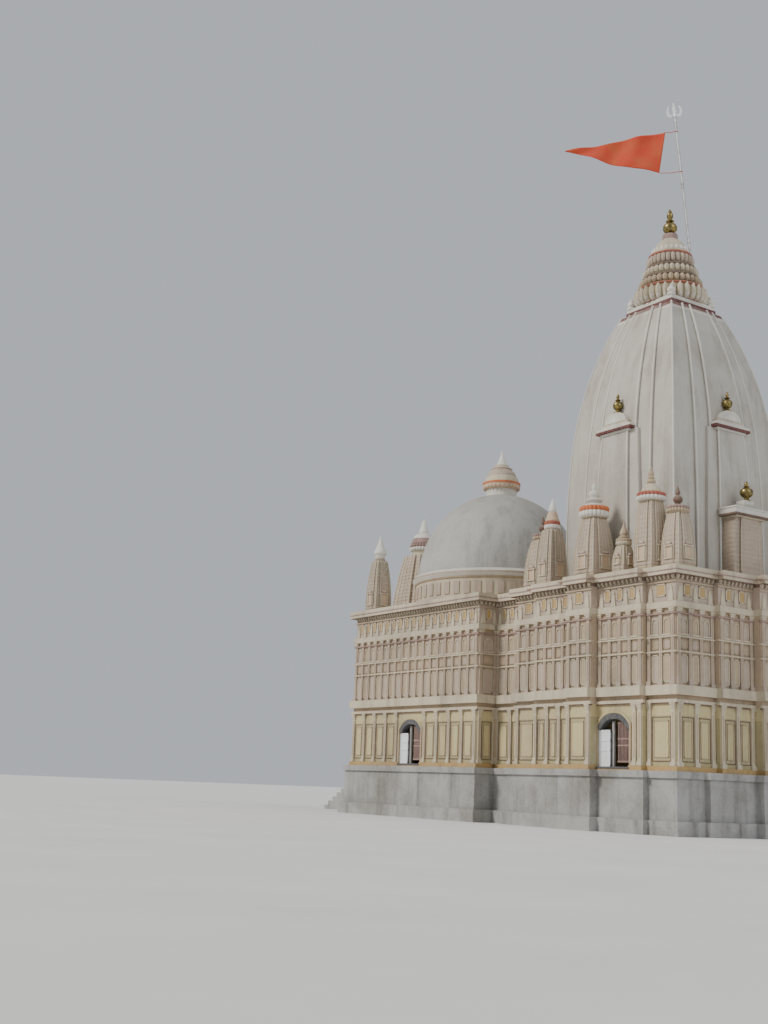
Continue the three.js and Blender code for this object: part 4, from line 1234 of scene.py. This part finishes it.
def bays(facet, pitch, openings):
    """Pilaster places along a face, none before an opening, and the bays between them."""
    length, wide = facet.length, facet.pilaster_width
    inset = wide / 2 + 0.03
    stops = [inset, length - inset] + [edge for gap in openings for edge in (gap[0] - 0.2, gap[1] + 0.2)]
    stops = sorted(u for u in stops if inset - 0.001 < u < length - inset + 0.001
                   and not any(gap[0] - 0.15 < u < gap[1] + 0.15 for gap in openings))
    places, spans = set(stops), []
    for a, b in zip(stops, stops[1:]):
        if any(gap[0] < (a + b) / 2 < gap[1] for gap in openings):
            continue
        parts = max(1, round((b - a) / pitch))
        for i in range(parts):
            ends = (a + (b - a) * i / parts, a + (b - a) * (i + 1) / parts)
            places.update(ends)
            spans.append((ends[0] + wide / 2 + 0.035, ends[1] - wide / 2 - 0.035))
    return sorted({round(u, 4) for u in places}), [span for span in spans if span[1] - span[0] > 0.08]


def lower_storey(facet, form, openings, doorway):
    """Pilasters, a panel within a panel in each bay, and the ledge over them."""
    foot = BASE_TOP
    places, spans = bays(facet, 0.6, openings)
    for u in places:
        pilaster(facet, form, u, foot, LOWER_LEDGE[0], cream)
    for u in spans:
        panel(facet, form, u, (foot + 0.12, LOWER_HEAD - 0.03), olive, brown, 0.02)
        inner = (u[0] + 0.07, u[1] - 0.07)
        if inner[1] - inner[0] > 0.08:
            panel(facet, form, inner, (foot + 0.22, LOWER_HEAD - 0.13), yellow, tan, 0.02, 0.015)
    facet.band(form, LOWER_LEDGE, 0.07, cream, doorway)
    facet.band(form, (LOWER_LEDGE[0] - 0.035, LOWER_LEDGE[0]), 0.05, brown, doorway)


def upper_storey(facet, form, doorway):
    """Pilasters, two rows of panels and a row of arched ones, with strings between them."""
    foot, head = SILL_BAND[1], HIGH_STRING[0] - 0.03
    door_left, door_right = doorway or (math.inf, math.inf)
    places, spans = bays(facet, 0.42, ())
    for u in places:
        over_door = door_left - 0.05 < u < door_right + 0.05
        pilaster(facet, form, u, MIDDLE_STRING[1] if over_door else foot, HEAD_BAND[0], peach)
    for number, u in enumerate(spans):
        field, other = (tan, peach) if number % 2 else (peach, tan)
        if u[1] <= door_left or u[0] >= door_right:
            panel(facet, form, u, (foot + 0.07, LOW_STRING[0] - 0.05), field)
            panel(facet, form, u, (LOW_STRING[1] + 0.05, MIDDLE_STRING[0] - 0.04), other, tan, 0.02)
        if u[1] - u[0] > 0.16:
            arch_panel(facet, form, u, (MIDDLE_STRING[1] + 0.06, head), field)
        else:
            panel(facet, form, u, (MIDDLE_STRING[1] + 0.04, head), field)
    facet.band(form, LOW_STRING, 0.062, cream, doorway)
    facet.band(form, MIDDLE_STRING, 0.062, cream)
    facet.band(form, HIGH_STRING, 0.075, rose)


def frieze(facet, form):
    """Little spires with painted panels between them, a string, dentils and a rose line on the cornice."""
    pitch, inset = 0.4, 0.15
    facet.row(form, tower_relief(), cream, pitch, HEAD_BAND[1] + 0.01, inset)
    count, gap = facet.shared(pitch, inset)
    for number in range(count - 1):
        middle = inset + gap * (number + 0.5)
        panel(facet, form, (middle - gap * 0.24, middle + gap * 0.24), (6.29, 6.63), ochre)
    facet.band(form, FRIEZE_STRING, 0.045, tan)
    facet.row(form, dentil(), cream, 0.15, CORNICE_FOOT - 0.07, 0.06)
    edge = (-CORNICE_REACH, facet.length + CORNICE_REACH)
    line = (CORNICE_FOOT + 0.10, CORNICE_FOOT + 0.13)
    facet.plate(form, edge, line, CORNICE_REACH + 0.012, rose, start=0.0)


def dress(facet, form, openings=(), doorway=None):
    """Relief on one wall face: two storeys and a frieze."""
    lower_storey(facet, form, openings, doorway)
    upper_storey(facet, form, doorway)
    frieze(facet, form)


def mirrored(points, way):
    """The same wall line on the other side, still anticlockwise."""
    return points if way > 0 else [(-x, y) for x, y in reversed(points)]


def shrine_line(bay_half):
    """The wall line of the shrine's +X face, which steps out twice towards its middle."""
    half_line = [(PIER_FACE, PIER_FACE), (PIER_FACE, bay_half), (BAY_FACE, bay_half), (BAY_FACE, MIDDLE_HALF),
                 (MIDDLE_FACE, MIDDLE_HALF)]
    return [(x, -y) for x, y in half_line] + half_line[::-1]


def dress_line(form, points, window_y=None):
    """Relief on each longer stretch of a wall line, with a window in the bay that holds window_y."""
    for start, end in zip(points, points[1:]):
        facet = Facet(start, end)
        openings = []
        in_bay = abs(start[0]) == abs(end[0]) == BAY_FACE
        if in_bay and window_y is not None and min(start[1], end[1]) < window_y < max(start[1], end[1]):
            middle = abs(window_y - start[1])
            openings = [(middle - WINDOW_HALF, middle + WINDOW_HALF)]
        if facet.length > 0.3:
            dress(facet, form, openings)


def make_shrine_walls():
    for side, way in SIDES:
        form = Form()
        dress_line(form, mirrored(shrine_line(BAY_HALF), way), SHRINE_WINDOW_Y)
        form.piece(f"shrine_trim_{side}")
    form = Form()
    dress_line(form, [(-y, x) for x, y in shrine_line(REAR_BAY_HALF)])
    form.piece("shrine_trim_rear")


def make_hall_walls():
    for side, way in SIDES:
        form = Form()
        points = mirrored([(HALL_HALF, HALL_FRONT), (HALL_HALF, HALL_REAR), (LINK_HALF, HALL_REAR)], way)
        for start, end in zip(points, points[1:]):
            facet = Facet(start, end)
            middle = facet.length / 2
            windows = [(middle - WINDOW_HALF, middle + WINDOW_HALF)] if start[0] == end[0] else []
            dress(facet, form, windows)
        dress(Facet(*mirrored([(LINK_HALF, HALL_REAR), (LINK_HALF, -PIER_FACE)], way)), form)
        form.piece(f"hall_trim_{side}")
    form = Form()
    clear = DOOR_HALF + 0.34
    doorway = (HALL_HALF - clear, HALL_HALF + clear)
    dress(Facet((-HALL_HALF, HALL_FRONT), (HALL_HALF, HALL_FRONT)), form, [doorway], doorway)
    form.piece("hall_trim_front")


def make_door_frame():
    """A stepped frame round the hall's doorway, with a lintel and a crest over it."""
    form = Form()
    facet = Facet((-DOOR_HALF - 1.0, HALL_FRONT), (DOOR_HALF + 1.0, HALL_FRONT))
    middle, step, top = facet.length / 2, 0.08, PLINTH_TOP + DOOR_RISE
    paints = (cream, red, ochre, cream)
    for number, paint in enumerate(paints):
        inner, head, out = DOOR_HALF + step * number, top + step * number, 0.03 + 0.022 * number
        outer = inner + step
        for way in (-1, 1):
            facet.plate(form, beside(middle, way, inner, outer), (PLINTH_TOP, head + step), out, paint)
        facet.plate(form, (middle - outer, middle + outer), (head, head + step), out, paint)
    crest, wide = top + step * len(paints), DOOR_HALF + step * len(paints)
    facet.plate(form, (middle - wide - 0.1, middle + wide + 0.1), (crest, crest + 0.07), 0.2, white)
    facet.plate(form, (middle - wide, middle + wide), (crest + 0.07, crest + 0.13), 0.14, ochre)
    form.piece("hall_door_frame", bevel=0.006)


def window_surround(name, facet, middle):
    """Near-black painted shade filling the top of the opening under the arch, a yellow arch moulding, painted
    jambs, and a sill in the same painted shade.
    """
    form = Form()
    steps = 20
    # The inner band reaches into the opening under the arch and is near-black painted shade; the outer band
    # is the yellow moulding
    for inner, outer, depth, paint in ((-0.16, 0.0, (-0.2, 0.02), painted_opening_shade), (0.0, 0.06, (-0.03, 0.035), yellow)):
        for i in range(steps):
            ring = []
            for step, grow in ((i, inner), (i + 1, inner), (i + 1, outer), (i, outer)):
                x = -1 + 2 * step / steps
                arch = (1 - abs(x) ** 2.6) * (WINDOW_CROWN - WINDOW_SPRING)
                ring.append((middle + x * (WINDOW_HALF + grow * 0.4), WINDOW_SPRING + arch + grow))
            facet.prism(form, ring, depth, paint)
    for way in (-1, 1):
        jamb = beside(middle, way, WINDOW_HALF, WINDOW_HALF + 0.07)
        facet.plate(form, jamb, (WINDOW_SILL, WINDOW_SPRING + 0.05), 0.04, tan, start=-0.03)
    sill = (middle - WINDOW_HALF - 0.04, middle + WINDOW_HALF + 0.04)
    facet.plate(form, sill, (WINDOW_SILL - 0.06, WINDOW_SILL), 0.08, painted_opening_shade, start=-0.3)
    form.piece(name, bevel=0.006)


def window_bars(name, way, face, y):
    """A grille of rose bars, a jamb in near-black painted shade and a cement mullion in the half of a window
    that has no leaf.
    """
    form = Form()
    x = way * (face - 0.13)
    low, high = WINDOW_SILL + 0.12, WINDOW_SPRING + 0.08
    first, last, bars = y + 0.06, y + 0.54, 10
    bar = Form()
    bar.turned((0, 0), [(0.016, low), (0.016, high)], rose, 8)
    step = (0.0, (last - first) / (bars - 1), 0.0)
    form.take(grown(ROW, bar.mesh(), rose, Count=bars, Start=(x, first, 0.0), Step=step, Turn=0.0))
    for z, rise in ((low, 0.05), (WINDOW_SILL + 0.56, 0.04), (WINDOW_SILL + 0.74, 0.04), (high - 0.05, 0.05)):
        form.block((x - 0.014, first - 0.03, z), (x + 0.014, last + 0.03, z + rise), rose)
    jamb = y + WINDOW_HALF
    form.block((x - 0.02, jamb - 0.03, WINDOW_SILL), (x + 0.02, jamb, WINDOW_SPRING), painted_opening_shade)
    form.block((x - 0.03, y - 0.17, WINDOW_SILL), (x + 0.03, y - 0.09, WINDOW_SPRING + 0.1), cement)
    form.piece(name)


def window_leaf(node):
    """The white leaf as a framed shutter with three recessed fields."""
    low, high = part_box(node)
    rail = 0.05
    form = Form()
    form.block((low.x + 0.015, low.y, low.z), (high.x - 0.015, high.y, high.z), enamel)
    for z in (low.z, low.z + 0.42, low.z + 0.68, high.z - rail):
        form.block((low.x, low.y, z), (high.x, high.y, z + rail), enamel)
    for y in (low.y, high.y - rail):
        form.block((low.x + 0.001, y, low.z), (high.x - 0.001, y + rail, high.z), enamel)
    form.piece(f"{node}_skin", [node], bevel=0.004)


def make_windows():
    reach = 2.0
    windows = (("shrine", BAY_FACE, SHRINE_WINDOW_Y), ("hall", HALL_HALF, HALL_MID))
    for side, way in SIDES:
        for room, face, y in windows:
            facet = Facet(*mirrored([(face, y - reach), (face, y + reach)], way))
            window_surround(f"{room}_window_{side}_surround", facet, reach)
        for room, face, y in windows:
            window_bars(f"{room}_window_bars_{side}", way, face, y)
        for room, _, _ in windows:
            window_leaf(f"{room}_window_leaf_{side}")


# The porch

def make_columns():
    """A column on each side: a stepped square foot, a fluted shaft with petals and a square head."""
    # heights over the foot or under the top, with shares of the half width
    base = ((0.0, 1.0), (0.12, 1.0), (0.14, 0.92), (0.24, 0.92), (0.26, 0.84), (0.3, 0.84))
    head = ((-0.42, 0.8), (-0.3, 0.86), (-0.28, 0.94), (-0.18, 0.94), (-0.16, 1.0), (0.0, 1.0))
    shaft = ((0.19, 0.28), (0.205, 0.33), (0.19, 0.38), (0.165, 0.42), (0.17, 0.5), (0.168, 1.5),
             (0.158, 2.9), (0.175, 2.96), (0.19, 3.0), (0.17, 3.05), (0.15, 3.1), (0.17, 3.18), (0.2, 3.26),
             (0.2, 3.3))
    for side in ("left", "right"):
        centre, half, foot, top = stance(f"porch_column_{side}")
        square = stepped_plan(half, ())
        form = Form()
        levels = [(foot + z, share) for z, share in base]
        form.storeys(square, levels, centre, [ochre, cream, cream, red, cream])
        form.turned(centre, raised(shaft, foot), cream, 48, lobes=16, depth=0.05)
        form.ring_of(petal(0.075, 0.22, 0.05), ochre, 16, 0.155, foot + 3.06, centre)
        levels = [(top + z, share) for z, share in head]
        form.storeys(square, levels, centre, [cream, cream, ochre, cream, cream])
        form.piece(f"porch_column_skin_{side}", [f"porch_column_{side}"], bevel=0.008)


def make_porch_roof():
    """The porch's flat roof: a red line round its edge, and petals on the three sides that are free."""
    low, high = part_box("porch_roof")
    plan = [(high.x, low.y), (high.x, high.y), (low.x, high.y), (low.x, low.y)]

    def ring(inset, z):
        """The roof's plan, drawn in at the free sides."""
        return [(x - math.copysign(inset, x), y + (inset if y == low.y else 0.0), z) for x, y in plan]

    form = Form()
    edge = ((0.12, 0.0), (0.12, 0.1), (0.0, 0.14), (0.0, 0.22), (0.05, 0.27))
    rings = [ring(inset, low.z + z) for inset, z in edge] + [ring(0.05, high.z)]
    form.loft(rings, [cream, white, red, white, cream])
    for start, end in ((3, 0), (0, 1), (2, 3)):
        facet = Facet(plan[start], plan[end])
        facet.row(form, petal(0.15, 0.16, 0.03), plaster_light, 0.17, high.z - 0.17, 0.12, w=-0.05)
    form.piece("porch_roof_skin", ["porch_roof"], bevel=0.008)


# The pole leans in the upright plane across (1, -1); places are (distance across, height)
POLE_FOOT, POLE_TIP = (-0.64, 17.8), (-0.18, 22.76)
FLAG_TOP, FLAG_LOW, FLAG_POINT = (0.13, 22.27), (0.33, 20.84), (3.4, 21.79)


def across(distance, z, off=0.0):
    """A point in the pole's plane, or off it towards the rear corner."""
    side = math.sqrt(0.5)
    return Vector((distance * side + off * side, -distance * side + off * side, z))


def pole_at(z):
    """How far across the pole's axis is at a height."""
    share = (z - POLE_FOOT[1]) / (POLE_TIP[1] - POLE_FOOT[1])
    return POLE_FOOT[0] + (POLE_TIP[0] - POLE_FOOT[0]) * share


def make_pole():
    """A steel tube with three sleeves."""
    form = Form()
    runs = [((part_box("flagpole")[0].z, 19.0, 20.5, 22.0, POLE_TIP[1]), 0.038)]
    runs += [((z, z + 0.07), 0.05) for z in (18.35, 20.4, 22.6)]
    for heights, radius in runs:
        form.bead([across(pole_at(z), z) for z in heights], steel, radius)
    form.piece("flagpole_skin", ["flagpole"])


def make_trident():
    """Two flat crescents and a leaf-shaped middle blade of steel plate, leaning with the pole."""
    form = Form()
    lean = math.atan2(POLE_TIP[0] - POLE_FOOT[0], POLE_TIP[1] - POLE_FOOT[1])
    clearance = 0.0004

    def place(x, z, off):
        """A point x aside and z along from the pole's tip."""
        rise = z + clearance
        return across(POLE_TIP[0] + x * math.cos(lean) + rise * math.sin(lean),
                      POLE_TIP[1] - x * math.sin(lean) + rise * math.cos(lean), off)

    outer = smoothed(((0.03, 0.06), (0.06, 0.072), (0.11, 0.034), (0.172, 0.04), (0.226, 0.11), (0.25, 0.21),
                      (0.24, 0.32), (0.205, 0.395), (0.152, 0.45)))
    inner = smoothed(((0.022, 0.136), (0.06, 0.124), (0.095, 0.116), (0.14, 0.134), (0.17, 0.185),
                      (0.178, 0.265), (0.173, 0.318), (0.166, 0.36), (0.149, 0.448)))
    edge, ridge = 0.006, 0.013
    # The crescents and the blade are in the pale steel whose tone is painted lamp light
    for way in (-1, 1):
        rings = []
        for (x0, z0), (x1, z1) in zip(outer, inner):
            x, z = (x0 + x1) / 2, (z0 + z1) / 2
            corners = ((x0, z0, -edge), (x, z, -ridge), (x1, z1, -edge),
                       (x1, z1, edge), (x, z, ridge), (x0, z0, edge))
            rings.append([place(way * a, b, off) for a, b, off in corners])
        form.loft(rings, painted_lit_steel)
    # height, half width and half thickness
    blade = ((0.0, 0.03, 0.02), (0.08, 0.03, 0.02), (0.14, 0.022, 0.016), (0.17, 0.026, 0.015),
             (0.24, 0.052, 0.013), (0.34, 0.048, 0.012), (0.455, 0.02, 0.01), (0.56, 0.002, 0.003))
    form.loft([[place(half, z, 0), place(0, z, thick), place(-half, z, 0), place(0, z, -thick)]
               for z, half, thick in blade], painted_lit_steel)
    form.bead([place(0, -0.005, 0), place(0, 0.05, 0)], steel, 0.046)
    form.piece("trident_skin", ["trident"])


def flag_place(u, v):
    """Where a point of the pennant lies: u from hoist to tip, v from its lower to its upper edge."""
    low = Vector(FLAG_LOW).lerp(Vector(FLAG_POINT), u)
    top = Vector(FLAG_TOP).lerp(Vector(FLAG_POINT), u)
    spot = low.lerp(top, v)
    sway = math.sin(u * 9.5 - v * 1.3 + 0.4) * 0.13 * min(1.0, u * 3.2) * (1 - 0.35 * u)
    ripple = math.sin(u * 21.0 + v * 2.6) * 0.03 * min(1.0, u * 4)
    curl = math.sin(v * 5.2 + u * 3) * 0.025 * (1 - u)
    sway += ripple + curl
    sag = -0.05 * math.sin(u * math.pi) * (1 - v) + 0.02 * math.sin(u * 12 + 1.0) * v * min(1.0, u * 3)
    return across(spot.x, spot.y + sag, sway * (1 if u > 0 else 0.4))


def make_pennant():
    """A cotton pennant that streams from its ties."""
    rows, columns, blunt_tip = 26, 64, 0.992
    mesh = bpy.data.meshes.new("pennant")
    points = [flag_place(min(i / columns, blunt_tip), j / rows)
              for i in range(columns + 1) for j in range(rows + 1)]
    corners = [i * (rows + 1) + j for i in range(columns) for j in range(rows)]
    mesh.from_pydata(points, [], [(a, a + rows + 1, a + rows + 2, a + 1) for a in corners])
    chart = mesh.uv_layers.new(name="weave")
    for loop in mesh.loops:
        i, j = divmod(loop.vertex_index, rows + 1)
        chart.data[loop.index].uv = (i / columns * 3.3, j / rows * 1.4)
    mesh.materials.append(cotton)
    for face in mesh.polygons:
        face.use_smooth = True
    pennant = bpy.data.objects.new("pennant", mesh)
    bpy.context.scene.collection.objects.link(pennant)
    cloth = pennant.modifiers.new("cloth", "SOLIDIFY")
    cloth.thickness = 0.004
    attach(pennant, "root")
    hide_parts("flag")
    make_ties()


def make_ties():
    """Two cords from the pennant's corners to loops round the pole."""
    form = Form()
    loop_radius, parts = 0.046, 16
    angles = [TURN * i / parts for i in range(parts + 1)]
    for distance, z in (FLAG_TOP, FLAG_LOW):
        pole = pole_at(z)
        cord = ((distance + 0.02, z), ((distance + pole) / 2, z - 0.02), (pole + 0.045, z + 0.01))
        form.bead([across(*spot) for spot in cord], cotton, 0.011)
        loop = [across(pole + loop_radius * math.cos(a), z + 0.012 * math.cos(a), loop_radius * math.sin(a))
                for a in angles]
        form.bead(loop, cotton, 0.01)
    form.piece("pennant_ties")


make_camera()
make_stage()
paint_solids()
make_spire()
make_face_spires()
make_shoulder()
make_crown()
make_kalasha()
make_small_spires()
make_rear_spire()
make_porch_spire()
make_drum()
make_dome()
make_dome_crown()
make_dome_finial()
make_shrine_walls()
make_hall_walls()
make_windows()
make_door_frame()
make_columns()
make_porch_roof()
make_pole()
make_trident()
make_pennant()
